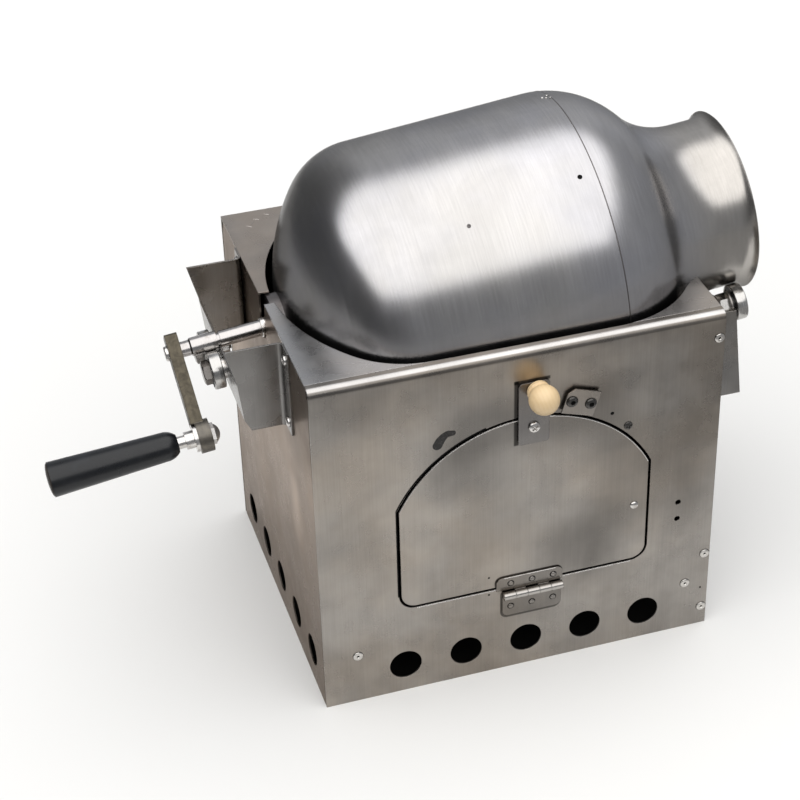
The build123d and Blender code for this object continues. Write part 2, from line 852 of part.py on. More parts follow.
left_axles = (left_web_station, left_roller_station, left_spacer, left_roller_spread, left_roller_w)
right_axles = (right_web_station, right_roller_station, right_spacer, right_roller_spread, right_roller_w)
axle_set("left", *left_axles, left_head_height, -1)
axle_set("right", *right_axles, right_head_height, 1)

# Arched door, flush in its opening, with the hole for the latch pivot
with BuildPart() as door_panel:
    with BuildSketch(front_plane):
        make_face(door_outline(0))
        with Locations((hardware_centre, latch_pivot_height)):
            Circle(pivot_radius + fit, mode=Mode.SUBTRACT)
    extrude(amount=-sheet)
write_piece(door_panel, "door_panel")

# Door hinge: two stamped leaves with alternate knuckles on one pin
barrel_radius = hinge_pin_radius + hinge_leaf_sheet
hinge_y = front - barrel_radius - hinge_standoff
knuckle_pitch = hinge_width / hinge_knuckles
leaf_start = barrel_radius + hinge_standoff


def hinge_leaf(name, way, centre, width, height, knuckles, bore_gap):
    """A leaf above (1) or below (-1) the pin, joined to its own knuckles and bored for the pin."""
    with BuildPart() as leaf:
        with BuildSketch(front_plane):
            with Locations((centre, hinge_height + way * (leaf_start + height) / 2)):
                plate = Rectangle(width, height - leaf_start)
            free_corners = plate.vertices().group_by(Axis.Y)[-1 if way > 0 else 0]
            fillet(free_corners, hinge_leaf_radius)
        extrude(amount=hinge_leaf_sheet)
        for knuckle in knuckles:
            x = hardware_centre - hinge_width / 2 + (knuckle + 0.5) * knuckle_pitch
            length = knuckle_pitch - hinge_side_gap
            with BuildSketch(Plane.YZ.offset(x - length / 2)):
                with Locations((hinge_y, hinge_height)):
                    Circle(barrel_radius)
                with Locations((front - hinge_leaf_sheet / 2, hinge_height + way * leaf_start / 2)):
                    Rectangle(hinge_leaf_sheet, leaf_start)
            extrude(amount=length)
        with BuildSketch(Plane.YZ.offset(hardware_centre - hinge_width / 2)):
            with Locations((hinge_y, hinge_height)):
                Circle(hinge_pin_radius + bore_gap)
        extrude(amount=hinge_width, mode=Mode.SUBTRACT)
    write_piece(leaf, name)


upper_centre = hardware_centre + hinge_upper_shift
upper_width = hinge_width + 2 * hinge_upper_margin
lower_knuckles = range(0, hinge_knuckles, 2)
upper_knuckles = range(1, hinge_knuckles, 2)
hinge_leaf("hinge_lower_leaf", -1, hardware_centre, hinge_width, hinge_lower_height, lower_knuckles, fit)
hinge_leaf("hinge_upper_leaf", 1, upper_centre, upper_width, hinge_upper_height, upper_knuckles, running)

with BuildPart() as hinge_pin:
    with BuildSketch(Plane.YZ.offset(hardware_centre - hinge_width / 2)):
        with Locations((hinge_y, hinge_height)):
            Circle(hinge_pin_radius)
    extrude(amount=hinge_width)
write_piece(hinge_pin, "hinge_pin")

for name, way, height in (
    ("hinge_lower_screws", -1, hinge_lower_height),
    ("hinge_upper_screws", 1, hinge_upper_height),
):
    row = hinge_height + way * (leaf_start + height) / 2
    places = [(hardware_centre + step * hinge_screw_pitch, row) for step in (-1, 0, 1)]
    dome_heads(name, [(front_plane.offset(hinge_leaf_sheet), places)], hinge_screw_radius, hinge_screw_height)

# Knob screw: countersunk flush in the back of the latch plate, so that the latch can turn close to the door
latch_front = latch_gap + latch_sheet
knob_section = Plane(origin=(knob_x, front - latch_front, knob_height), x_dir=(0, -1, 0), z_dir=(1, 0, 0))
knob_axis = Axis(knob_section.origin, (0, -1, 0))


def knob_screw_line(grow):
    """Half section of the knob screw, or of its hole when grown by the fit."""
    with BuildLine() as half:
        Polyline(
            (-latch_sheet, 0),
            (-latch_sheet, knob_screw_radius + knob_screw_taper + grow),
            (knob_screw_taper - latch_sheet, knob_screw_radius + grow),
            (knob_screw_length, knob_screw_radius + grow),
            (knob_screw_length, 0),
            close=True,
        )
    return half.edges()


with BuildPart() as knob_screw:
    with BuildSketch(knob_section):
        make_face(knob_screw_line(0))
    revolve(axis=knob_axis)
write_piece(knob_screw, "knob_screw")

# Latch plate that turns on its pivot screw in front of the door
with BuildPart() as latch_plate:
    with BuildSketch(front_plane.offset(latch_gap)):
        with Locations((hardware_centre, latch_pivot_height + (latch_above - latch_below) / 2)):
            RectangleRounded(latch_width, latch_above + latch_below, latch_corner_radius)
        with Locations((hardware_centre, latch_pivot_height)):
            Circle(pivot_radius + running, mode=Mode.SUBTRACT)
    extrude(amount=latch_sheet)
    with BuildSketch(knob_section):
        make_face(knob_screw_line(fit))
    revolve(axis=knob_axis, mode=Mode.SUBTRACT)
write_piece(latch_plate, "latch_plate")

# Turned wooden knob: a short base, a groove and a ball
ball_centre = knob_groove_length + sqrt(knob_ball_radius**2 - knob_groove_radius**2)
ball_start = degrees(atan2(knob_groove_radius, knob_groove_length - ball_centre))
with BuildPart() as latch_knob:
    with BuildSketch(knob_section):
        with BuildLine():
            Polyline(
                (0, 0),
                (0, knob_base_radius - knob_base_edge),
                (knob_base_edge, knob_base_radius),
                (knob_base_length - knob_base_edge, knob_base_radius),
                (knob_base_length, knob_base_radius - knob_base_edge),
                (knob_groove_length, knob_groove_radius),
            )
            CenterArc((ball_centre, 0), knob_ball_radius, 0, ball_start)
            Line((ball_centre + knob_ball_radius, 0), (0, 0))
        make_face()
    revolve(axis=knob_axis)
    with BuildSketch(knob_section):
        make_face(knob_screw_line(fit))
    revolve(axis=knob_axis, mode=Mode.SUBTRACT)
write_piece(latch_knob, "latch_knob")

# Latch pivot screw, held in the door by its nut
pivot_seat = front_plane.offset(latch_front + latch_gap)
with BuildPart() as latch_pivot:
    with BuildSketch(pivot_seat):
        with Locations((hardware_centre, latch_pivot_height)):
            Circle(pivot_head_radius)
    extrude(amount=pivot_head_height)
    fillet(latch_pivot.edges().sort_by(Axis.Y)[0], head_dome * pivot_head_height)
    with BuildSketch(pivot_seat):
        with Locations((hardware_centre, latch_pivot_height)):
            Circle(pivot_radius)
    extrude(amount=-latch_front - latch_gap - sheet - pivot_nut_height)
write_piece(latch_pivot, "latch_pivot")

with BuildPart() as pivot_nut:
    with BuildSketch(front_plane.offset(-sheet)):
        with Locations((hardware_centre, latch_pivot_height)):
            RegularPolygon(pivot_nut_flats / 2, 6, major_radius=False)
            Circle(pivot_radius + fit, mode=Mode.SUBTRACT)
    extrude(amount=-pivot_nut_height)
write_piece(pivot_nut, "pivot_nut")

# Keeper plate that stands off the front panel on two spacers, so that the latch slides in behind it
keeper_lift = latch_front + keeper_gap
keeper_way = radians(keeper_turn)
keeper_place = Plane(
    origin=(hardware_centre + keeper_offset, front, latch_pivot_height + keeper_rise),
    x_dir=(cos(keeper_way), 0, sin(keeper_way)),
    z_dir=(0, -1, 0),
)
keeper_holes = ((-keeper_screw_pitch / 2, 0), (keeper_screw_pitch / 2, 0))
with BuildPart() as keeper_plate:
    with BuildSketch(keeper_place.offset(keeper_lift)):
        outline = Rectangle(keeper_width, keeper_height)
        chamfer(outline.vertices().group_by(Axis.X)[0].sort_by(Axis.Y)[-1], keeper_bevel)
    extrude(amount=keeper_sheet)
write_piece(keeper_plate, "keeper_plate")

with BuildPart() as keeper_spacers:
    with BuildSketch(keeper_place):
        with Locations(*keeper_holes):
            Circle(keeper_spacer_radius)
    extrude(amount=keeper_lift)
write_piece(keeper_spacers, "keeper_spacers")
keeper_face = keeper_place.offset(keeper_lift + keeper_sheet)
dome_heads("keeper_screws", [(keeper_face, keeper_holes)], keeper_screw_radius, keeper_screw_height)

# Grate ledges riveted inside the front and rear panels
for name, way in (("front_ledge", -1), ("rear_ledge", 1)):
    wall = way * (box_depth / 2 - sheet)
    with BuildPart() as ledge:
        with BuildSketch(Plane.YZ.offset(-ledge_length / 2)):
            with BuildLine():
                Polyline(
                    (wall, ledge_top - ledge_leg),
                    (wall, ledge_top),
                    (wall - way * ledge_shelf, ledge_top),
                    (wall - way * ledge_shelf, ledge_top - sheet),
                    (wall - way * sheet, ledge_top - sheet),
                    (wall - way * sheet, ledge_top - ledge_leg),
                    close=True,
                )
            make_face()
        extrude(amount=ledge_length)
    write_piece(ledge, name)

# Rivets through the panels into the ledges and into the corner flanges
ledge_rivet_height = ledge_top - ledge_leg / 2
ledge_rivet_spread = ledge_length / 2 - ledge_rivet_inset
ledge_row = [(panel_centre + way * ledge_rivet_spread, ledge_rivet_height) for way in (-1, 1)]
dome_heads("ledge_rivets", [(front_plane, ledge_row), (rear_plane, ledge_row)], rivet_radius, rivet_height)
corner_x = side - corner_rivet_inset
corner_heights = (corner_rivet_low, corner_rivet_middle, box_height - corner_rivet_drop)
right_row = [(corner_x, height) for height in corner_heights]
both_rows = [(way * corner_x, height) for way in (-1, 1) for height in corner_heights]
dome_heads("corner_rivets", [(front_plane, right_row), (rear_plane, both_rows)], rivet_radius, rivet_height)

# Fire grate that lies loose on the ledges
grate_length = box_depth - 4 * sheet - 2 * grate_end_gap
grate_span = ledge_length - 2 * grate_side_gap
grate_bar_pitch = (grate_span - grate_bar_width) / (grate_bar_count - 1)
with BuildPart() as fire_grate:
    with BuildSketch(Plane.XY.offset(ledge_top)):
        with GridLocations(grate_bar_pitch, 0, grate_bar_count, 1):
            Rectangle(grate_bar_width, grate_length)
        with GridLocations(0, 2 * grate_rail_spread, 1, 2):
            Rectangle(grate_span, grate_bar_width)
    extrude(amount=grate_bar_height)
write_piece(fire_grate, "fire_grate")
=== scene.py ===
"""Looks of a hand-crank nut roaster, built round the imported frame. Metres, +Z up, the door faces -Y."""
import json
from math import atan2, cos, hypot, pi, radians, sin, tan

import bmesh
import bpy
from mathutils import Matrix, Vector


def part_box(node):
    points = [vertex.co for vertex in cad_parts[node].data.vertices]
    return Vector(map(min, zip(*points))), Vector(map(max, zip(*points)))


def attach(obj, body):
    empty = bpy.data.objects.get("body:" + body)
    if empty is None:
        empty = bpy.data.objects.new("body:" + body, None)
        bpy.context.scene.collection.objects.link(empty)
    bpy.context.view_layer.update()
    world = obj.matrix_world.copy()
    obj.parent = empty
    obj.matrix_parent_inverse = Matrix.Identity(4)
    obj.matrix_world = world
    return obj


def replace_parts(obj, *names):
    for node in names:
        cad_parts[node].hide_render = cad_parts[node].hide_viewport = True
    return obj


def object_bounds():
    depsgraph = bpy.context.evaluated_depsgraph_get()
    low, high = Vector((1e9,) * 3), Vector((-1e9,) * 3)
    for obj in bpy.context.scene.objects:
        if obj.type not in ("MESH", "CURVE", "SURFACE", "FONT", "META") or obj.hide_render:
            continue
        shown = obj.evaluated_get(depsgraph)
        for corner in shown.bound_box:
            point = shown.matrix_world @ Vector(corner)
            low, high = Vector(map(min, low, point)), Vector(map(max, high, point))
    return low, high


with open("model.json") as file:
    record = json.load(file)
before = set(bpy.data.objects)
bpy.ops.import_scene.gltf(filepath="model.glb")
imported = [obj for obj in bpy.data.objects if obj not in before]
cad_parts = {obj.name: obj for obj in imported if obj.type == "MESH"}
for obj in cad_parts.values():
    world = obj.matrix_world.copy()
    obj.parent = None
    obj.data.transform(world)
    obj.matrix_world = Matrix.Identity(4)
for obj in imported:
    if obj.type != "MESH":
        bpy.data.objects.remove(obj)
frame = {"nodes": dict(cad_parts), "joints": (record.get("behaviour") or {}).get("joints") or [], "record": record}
cad_low, cad_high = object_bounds()
nodes = frame["nodes"]
joints = {joint["name"]: joint for joint in frame["joints"]}
mm = 0.001

# Places taken from the frame
axis_start = Vector(joints["drum_spin"]["pos_m"])
axis_way = Vector(joints["drum_spin"]["axis"]).normalized()
axis_up = Vector((-axis_way.z, 0, axis_way.x))
drum_tilt = atan2(axis_way.z, axis_way.x)
panel_low, panel_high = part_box("front_panel")
front_face = panel_low.y
wall_x = panel_high.x
box_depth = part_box("rear_panel")[1].y - front_face
box_top = panel_high.z
front_way = (0, -1, 0)

# Lengths that the solids have too
bend_radius = 6.5 * mm
drum_radius = 123.5 * mm
arch_rise = 64 * mm
door_gap = 2.2 * mm
leaf_thickness = 1.4 * mm
bearing_half = 4.5 * mm
bolt_flats = 17.0 * mm
bolt_radius = 5.0 * mm

# Camera of the photograph
camera_place = Vector((-0.4472, -1.3514, 1.146))
camera_right = Vector((0.955, -0.2954, -0.0262))
camera_back = Vector((-0.23, -0.7934, 0.5636))
camera_lens = 93.43
sensor_width = 36.0

# Studio: a soft light overhead, given by its edges as slopes from the middle of the room, between grey
# walls that are lighter to the right, over pale paper laid on a grey ground
sky_strength = 2.0
sky_colour = (1.0, 0.99, 0.98)
sky_left, sky_right = -1.7, 0.9
sky_front, sky_rear = -2.05, 0.56
sky_softness = 0.35
sky_rise = (0.05, 0.2)
least_height = 0.02
wall_left, wall_right = 0.09, 0.36
wall_turn = (-0.8, 0.6)
rear_glow = 0.32
rear_glow_x = (-0.35, 0.2)
rear_glow_y = (0.35, 0.75)
wall_colour = (0.94, 0.96, 1.0)
paper_corners = ((-0.52, -0.52), (0.2, -0.52), (0.87, 1.1), (-0.25, 1.5))
paper_colour = (0.83, 0.83, 0.82)
ground_radius = 2.0
ground_points = 96
ground_drop = 2 * mm
ground_colour = (0.27, 0.27, 0.27)
ground_gloss = 0.1

# Looks of the sheets; bend_begins, bend_turns and bend_rises are shares of the bend's radius; the front bend gets
# a painted highlight on its upper half and painted shade on its lower half
noise_range = (0.3, 0.7)
tone_range = (0.35, 0.65)
soot_skin = 1.4 * mm
soot_colour = (0.03, 0.028, 0.026)
soot_roughness = 0.75
# Height over which painted shade darkens the sooty sheets towards the ground
ground_shade_height = 0.2
bend_begins = (0.08, 0.2)
bend_turns = (0.62, 0.78)
bend_rises = (0.05, 0.2)
# Colour of the painted highlight on the upper half of the front bend; bend_shade darkens its lower half as painted
# shade
bend_highlight_colour = (0.54, 0.525, 0.51)
bend_shade = 0.62
box_colour = (0.335, 0.308, 0.28)
# Stand-off from the front over which the knuckle's painted highlight comes in
knuckle_stand = (5.0 * mm, 6.8 * mm)

# Looks of the drum and the crank
drum_rim = 0.45
shoulder_station = 150 * mm
neck_station = 195 * mm
eye_rim = (12.0 * mm, 13.5 * mm)


# Shader helpers
def add_node(tree, kind, inputs=None, **settings):
    """Adds a shader node; an input is a value or the socket to link from."""
    made = tree.nodes.new(kind)
    for name, value in settings.items():
        setattr(made, name, value)
    for name, value in (inputs or {}).items():
        if isinstance(value, bpy.types.NodeSocket):
            tree.links.new(value, made.inputs[name])
        else:
            made.inputs[name].default_value = value
    return made


def calculate(tree, operation, *values):
    """A math node's result."""
    inputs = dict(enumerate(values))
    return add_node(tree, "ShaderNodeMath", inputs, operation=operation).outputs[0]


def multiply(tree, first, *others):
    """The product of values and sockets."""
    for other in others:
        first = calculate(tree, "MULTIPLY", first, other)
    return first


def length_of(tree, parts):
    """The length of a vector, given its parts."""
    squares = [multiply(tree, part, part) for part in parts]
    total = squares[0]
    for square in squares[1:]:
        total = calculate(tree, "ADD", total, square)
    return calculate(tree, "SQRT", total)


def fade(tree, value, low, high, to_low=0.0, to_high=1.0):
    """Maps a value smoothly from one range to another."""
    inputs = {"Value": value, "From Min": low, "From Max": high, "To Min": to_low, "To Max": to_high}
    made = add_node(tree, "ShaderNodeMapRange", inputs, interpolation_type="SMOOTHSTEP")
    return made.outputs["Result"]


def mix_colour(tree, factor, first, second):
    """A colour between two; each is three numbers or a socket."""
    colours = [c if isinstance(c, bpy.types.NodeSocket) else (*c, 1) for c in (first, second)]
    made = add_node(tree, "ShaderNodeMix", {"Factor": factor}, data_type="RGBA")
    for socket, colour in zip((made.inputs[6], made.inputs[7]), colours):
        if isinstance(colour, bpy.types.NodeSocket):
            tree.links.new(colour, socket)
        else:
            socket.default_value = colour
    return made.outputs[2]


def tinted(colour, factors):
    """A colour with its red, green and blue scaled."""
    return tuple(part * factor for part, factor in zip(colour, factors))


def scaled_colour(tree, colour, level):
    """A colour made lighter or darker all over by a level."""
    made = add_node(tree, "ShaderNodeVectorMath", {0: colour, "Scale": level}, operation="SCALE")
    return made.outputs["Vector"]


def object_place(tree):
    """Coordinates of the piece as it lies at rest."""
    return add_node(tree, "ShaderNodeTexCoord").outputs["Object"]


def split_of(tree, vector):
    """The X, Y and Z of a vector, by name."""
    return add_node(tree, "ShaderNodeSeparateXYZ", {"Vector": vector}).outputs


def noise(tree, vector, scale=1.0, detail=4.0, roughness=0.55, distortion=0.0):
    """A cloudy value round 0.5."""
    inputs = {
        "Vector": vector, "Scale": scale, "Detail": detail, "Roughness": roughness, "Distortion": distortion,
    }
    return add_node(tree, "ShaderNodeTexNoise", inputs).outputs["Fac"]


def stretched(tree, vector, scale, turn=0.0, move=(0, 0, 0)):
    """Coordinates moved, turned about Y and scaled along each axis, in that order."""
    for setting in ({"Location": move}, {"Rotation": (0, turn, 0)}, {"Scale": scale}):
        inputs = {"Vector": vector, **setting}
        vector = add_node(tree, "ShaderNodeMapping", inputs, vector_type="POINT").outputs["Vector"]
    return vector


def new_material(name, colour, metallic, roughness):
    """A material, its node tree and its shader."""
    material = bpy.data.materials.new(name)
    material.use_nodes = True
    material.diffuse_color = (*colour, 1)
    tree = material.node_tree
    shader = tree.nodes["Principled BSDF"]
    shader.inputs["Base Color"].default_value = (*colour, 1)
    shader.inputs["Metallic"].default_value = metallic
    shader.inputs["Roughness"].default_value = roughness
    return material, tree, shader


def set_look(tree, shader, colour, roughness):
    """Links a varying colour and roughness to the shader."""
    tree.links.new(colour, shader.inputs["Base Color"])
    tree.links.new(roughness, shader.inputs["Roughness"])


def set_bump(tree, shader, height, distance, edge_radius):
    """Fine relief, with the piece's sharp edges slightly rounded."""
    edge = add_node(tree, "ShaderNodeBevel", {"Radius": edge_radius}, samples=4).outputs["Normal"]
    bump = add_node(tree, "ShaderNodeBump", {"Height": height, "Distance": distance, "Normal": edge})
    bump.inputs["Strength"].default_value = 1.0
    tree.links.new(bump.outputs["Normal"], shader.inputs["Normal"])


def box_skin(tree, split):
    """Masks over the firebox: inside its skin, and the upper and lower half of its front bend, which get a painted
    highlight and painted shade.
    """
    reaches = {}
    for axis, limit in (("X", wall_x), ("Y", box_depth / 2), ("Z", box_top)):
        size = calculate(tree, "ABSOLUTE", split[axis])
        past = calculate(tree, "SUBTRACT", size, limit - bend_radius)
        reaches[axis] = calculate(tree, "MAXIMUM", past, 0.0)
    inner = calculate(tree, "LESS_THAN", length_of(tree, list(reaches.values())), bend_radius - soot_skin)
    front = calculate(tree, "LESS_THAN", split["Y"], 0.0)
    begun, halfway, raised = (
        fade(tree, reaches[axis], *(share * bend_radius for share in shares))
        for axis, shares in (("Y", bend_begins), ("Y", bend_turns), ("Z", bend_rises))
    )
    # upper is the mask of the painted highlight, lower the mask of the painted shade
    on_bend = multiply(tree, front, begun, raised)
    upper = multiply(tree, on_bend, calculate(tree, "SUBTRACT", 1.0, halfway))
    lower = multiply(tree, on_bend, halfway)
    return inner, upper, lower


def painted_shade_level(tree, split, axis, across, up, half_across, half_up, corner, reach, strength):
    """Painted shade: 1 away from a round-cornered rectangle on a wall, and less by the strength in it; a negative
    strength makes a painted highlight.
    """
    past = []
    for one, centre, half in ((axis, across, half_across), ("Z", up, half_up)):
        size = calculate(tree, "ABSOLUTE", calculate(tree, "SUBTRACT", split[one], centre * mm))
        beyond = calculate(tree, "SUBTRACT", size, (half - corner) * mm)
        past.append(calculate(tree, "MAXIMUM", beyond, 0.0))
    dark = fade(tree, length_of(tree, past), corner * mm, (corner + reach) * mm, strength, 0.0)
    return calculate(tree, "SUBTRACT", 1.0, dark)


def plate_shadow(name, left, above, below, corner, reach, strength):
    """A painted shadow behind a plate on the front, which shows by millimetres on its left, above and below."""
    low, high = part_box(name)
    sides = (low.x / mm - left, high.x / mm)
    ends = (low.z / mm - below, high.z / mm + above)
    across, half_across = sum(sides) / 2, (sides[1] - sides[0]) / 2
    up, half_up = sum(ends) / 2, (ends[1] - ends[0]) / 2
    return "X", across, up, half_across, half_up, corner, reach, strength


def edge_shadow_lines(name, left, above, reach, strength):
    """Two narrow strips of painted shadow on the front, along the left edge and the top edge of a plate."""
    low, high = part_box(name)
    side = low.x / mm - left / 2
    rise = (high.z - low.z) / mm + above
    brow = high.z / mm + above / 2
    width = (high.x - low.x) / mm + left
    upright = ("X", side, low.z / mm + rise / 2, left / 2, rise / 2, 0.0, reach, strength)
    level = ("X", high.x / mm - width / 2, brow, width / 2, above / 2, 0.0, reach, strength)
    return upright, level


# Materials
# low is the share of brightness left at the ground by the painted shade
def sheet_steel(name, colour, roughness, mottle, soot_and_painted_light=False, low=1.0, painted_patches=(), edge=(1, 1, 1)):
    """Brushed sheet with soft stains; the sooty one is dark inside the firebox, with painted shade towards the
    ground, painted shade and highlight patches, and a painted highlight and painted shade on its front bend.
    """
    material, tree, shader = new_material(name, colour, metallic=1.0, roughness=roughness)
    shader.inputs["Specular Tint"].default_value = (*edge, 1)
    place = object_place(tree)
    cloud = noise(tree, place, scale=15.0, detail=3.0, roughness=0.5, distortion=0.4)
    stain = noise(tree, place, scale=46.0, detail=3.0, roughness=0.5)
    grain = noise(tree, stretched(tree, place, (900, 900, 14)), detail=3.0, roughness=0.7)
    level = multiply(
        tree,
        fade(tree, cloud, *noise_range, 1.0 - mottle, 1.0 + mottle),
        fade(tree, stain, *noise_range, 1.0 - mottle / 2, 1.0 + mottle / 2),
        fade(tree, grain, *noise_range, 0.96, 1.04),
    )
    warm = tinted(colour, (1.03, 1.0, 0.96))
    cool = tinted(colour, (0.98, 1.0, 1.02))
    tone = mix_colour(tree, fade(tree, noise(tree, place, scale=9.0), *tone_range), warm, cool)
    rough = fade(tree, stain, *noise_range, roughness - 0.04, roughness + 0.05)
    if soot_and_painted_light:
        split = split_of(tree, place)
        inner, upper, lower = box_skin(tree, split)
        # Painted shade: darker towards the ground
        level = multiply(tree, level, fade(tree, split["Z"], 0.0, ground_shade_height, low, 1.0))
        # Patches of painted shade, or of painted highlight where the strength is negative
        for painted_patch in painted_patches:
            level = multiply(tree, level, painted_shade_level(tree, split, *painted_patch))
        # Painted shade on the lower half of the front bend, painted highlight on its upper half
        level = multiply(tree, level, fade(tree, lower, 0.0, 1.0, 1.0, bend_shade))
        tone = mix_colour(tree, upper, tone, bend_highlight_colour)
    shade = scaled_colour(tree, tone, level)
    if soot_and_painted_light:
        shade = mix_colour(tree, inner, shade, soot_colour)
        rough = calculate(tree, "MAXIMUM", rough, multiply(tree, inner, soot_roughness))
    set_look(tree, shader, shade, rough)
    dents = multiply(tree, noise(tree, place, scale=11.0, detail=1.0), 2.0)
    relief = calculate(tree, "ADD", dents, multiply(tree, grain, 0.03))
    set_bump(tree, shader, relief, distance=0.25 * mm, edge_radius=0.8 * mm)
    return material


def paint_knuckle_highlight(material, colour):
    """Mixes a lighter colour into a hinge leaf where it stands off the front: a painted highlight on the knuckle.
    """
    tree = material.node_tree
    socket = tree.nodes["Principled BSDF"].inputs["Base Color"]
    flat = socket.links[0].from_socket
    stand = calculate(tree, "SUBTRACT", front_face, split_of(tree, object_place(tree))["Y"])
    tree.links.new(mix_colour(tree, fade(tree, stand, *knuckle_stand), flat, colour), socket)
    return material


def drum_steel(name, colour, roughness):
    """Spun and polished steel, with fine rings round the drum's axis and a darker look at its rims."""
    material, tree, shader = new_material(name, colour, metallic=1.0, roughness=roughness)
    shader.inputs["Specular Tint"].default_value = (drum_rim, drum_rim, drum_rim, 1)
    place = object_place(tree)
    split = split_of(tree, stretched(tree, place, (1, 1, 1), drum_tilt, -axis_start))
    turn = calculate(tree, "ARCTAN2", split["Y"], split["Z"])
    unrolled = add_node(tree, "ShaderNodeCombineXYZ", {"X": split["X"], "Y": turn}).outputs["Vector"]
    rings = noise(tree, stretched(tree, unrolled, (700, 3.0, 1)), detail=4.0, roughness=0.7)
    bands = noise(tree, stretched(tree, unrolled, (26, 0.7, 1)), detail=2.0)
    cloud = noise(tree, place, scale=13.0, detail=4.0, roughness=0.6, distortion=0.5)
    level = multiply(
        tree,
        fade(tree, cloud, *noise_range, 0.93, 1.06),
        fade(tree, rings, *noise_range, 0.95, 1.05),
        fade(tree, bands, *noise_range, 0.95, 1.04),
    )
    warm = tinted(colour, (1.015, 1.0, 0.985))
    cool = tinted(colour, (0.985, 0.985, 1.035))
    brown = tinted(colour, (0.975, 0.94, 0.895))
    base = mix_colour(tree, fade(tree, noise(tree, place, scale=7.0), *tone_range), warm, cool)
    base = mix_colour(tree, fade(tree, split["X"], shoulder_station, neck_station), base, brown)
    rough = fade(tree, bands, 0.25, 0.75, roughness - 0.02, roughness + 0.03)
    set_look(tree, shader, scaled_colour(tree, base, level), rough)
    set_bump(tree, shader, bands, distance=0.06 * mm, edge_radius=0.5 * mm)
    return material


def bright_steel(name, colour, roughness, grain=1500.0):
    """Turned or ground steel with fine tool marks and a little tarnish."""
    material, tree, shader = new_material(name, colour, metallic=1.0, roughness=roughness)
    place = object_place(tree)
    marks = noise(tree, stretched(tree, place, (grain, 60, 60), drum_tilt), detail=3.0, roughness=0.7)
    tarnish = noise(tree, place, scale=120.0, detail=4.0, roughness=0.6)
    dull = tinted(colour, (0.72, 0.69, 0.66))
    shade = mix_colour(tree, fade(tree, tarnish, 0.5, 0.75), colour, dull)
    set_look(tree, shader, shade, fade(tree, marks, *noise_range, roughness - 0.05, roughness + 0.08))
    set_bump(tree, shader, marks, distance=0.02 * mm, edge_radius=0.3 * mm)
    return material


def arm_steel(name, colour, eye_colour):
    """Hot-rolled bar with brownish scale, ground bright round the spindle's eye."""
    material, tree, shader = new_material(name, colour, metallic=1.0, roughness=0.4)
    place = object_place(tree)
    scale = noise(tree, place, scale=210.0, detail=6.0, roughness=0.65, distortion=0.6)
    streak = noise(tree, stretched(tree, place, (400, 60, 60)), detail=3.0)
    dark = tinted(colour, (0.72, 0.72, 0.72))
    light = tinted(colour, (1.2, 1.18, 1.12))
    shade = mix_colour(tree, fade(tree, scale, 0.35, 0.7), light, dark)
    spindle = Vector(joints["grip_spin"]["pos_m"])
    split = split_of(tree, stretched(tree, place, (1, 1, 1), drum_tilt, -spindle))
    eye = fade(tree, length_of(tree, (split["Y"], split["Z"])), *eye_rim, 0.85, 0.0)
    shade = mix_colour(tree, eye, shade, eye_colour)
    set_look(tree, shader, shade, fade(tree, streak, *noise_range, 0.32, 0.48))
    set_bump(tree, shader, scale, distance=0.06 * mm, edge_radius=0.8 * mm)
    return material


def grip_plastic(name, colour, gloss):
    """Moulded plastic or rubber, slightly worn."""
    material, tree, shader = new_material(name, colour, metallic=0.0, roughness=0.36)
    shader.inputs["Specular IOR Level"].default_value = gloss
    place = object_place(tree)
    skin = noise(tree, place, scale=1400.0, detail=3.0)
    wear = noise(tree, place, scale=60.0, detail=4.0, roughness=0.6)
    shade = mix_colour(tree, fade(tree, wear, 0.5, 0.75), colour, tinted(colour, (1.9, 1.9, 1.9)))
    set_look(tree, shader, shade, fade(tree, wear, *noise_range, 0.26, 0.36))
    set_bump(tree, shader, skin, distance=0.03 * mm, edge_radius=0.3 * mm)
    return material


def knob_wood(name, colour):
    """Pale turned wood: fine growth rings across the knob and short pores."""
    material, tree, shader = new_material(name, colour, metallic=0.0, roughness=0.42)
    shader.inputs["Coat Weight"].default_value = 0.25
    shader.inputs["Coat Roughness"].default_value = 0.25
    place = object_place(tree)
    across = stretched(tree, place, (1, 0.12, 1), 0.3)
    inputs = {"Vector": across, "Scale": 110.0, "Distortion": 2.2, "Detail": 2.0}
    wave = add_node(tree, "ShaderNodeTexWave", inputs, wave_type="BANDS", bands_direction="X")
    rings = wave.outputs["Fac"]
    pores = noise(tree, stretched(tree, place, (1800, 160, 1800)), detail=2.0)
    late = tinted(colour, (0.88, 0.8, 0.68))
    pore = tinted(colour, (0.6, 0.6, 0.6))
    shade = mix_colour(tree, fade(tree, rings, 0.3, 1.0, 0.0, 0.16), colour, late)
    shade = mix_colour(tree, fade(tree, pores, 0.62, 0.75, 0.0, 0.2), shade, pore)
    set_look(tree, shader, shade, fade(tree, pores, *noise_range, 0.36, 0.5))
    set_bump(tree, shader, rings, distance=0.04 * mm, edge_radius=0.4 * mm)
    return material


def dark_metal(name, colour, roughness):
    """Blackened steel or iron with a fine grainy skin."""
    material, tree, shader = new_material(name, colour, metallic=0.75, roughness=roughness)
    skin = noise(tree, object_place(tree), scale=500.0, detail=4.0, roughness=0.65)
    rubbed = tinted(colour, (2.6, 2.6, 2.6))
    shade = mix_colour(tree, fade(tree, skin, 0.5, 0.8), colour, rubbed)
    set_look(tree, shader, shade, fade(tree, skin, *noise_range, roughness - 0.06, roughness + 0.1))
    set_bump(tree, shader, skin, distance=0.05 * mm, edge_radius=0.3 * mm)
    return material


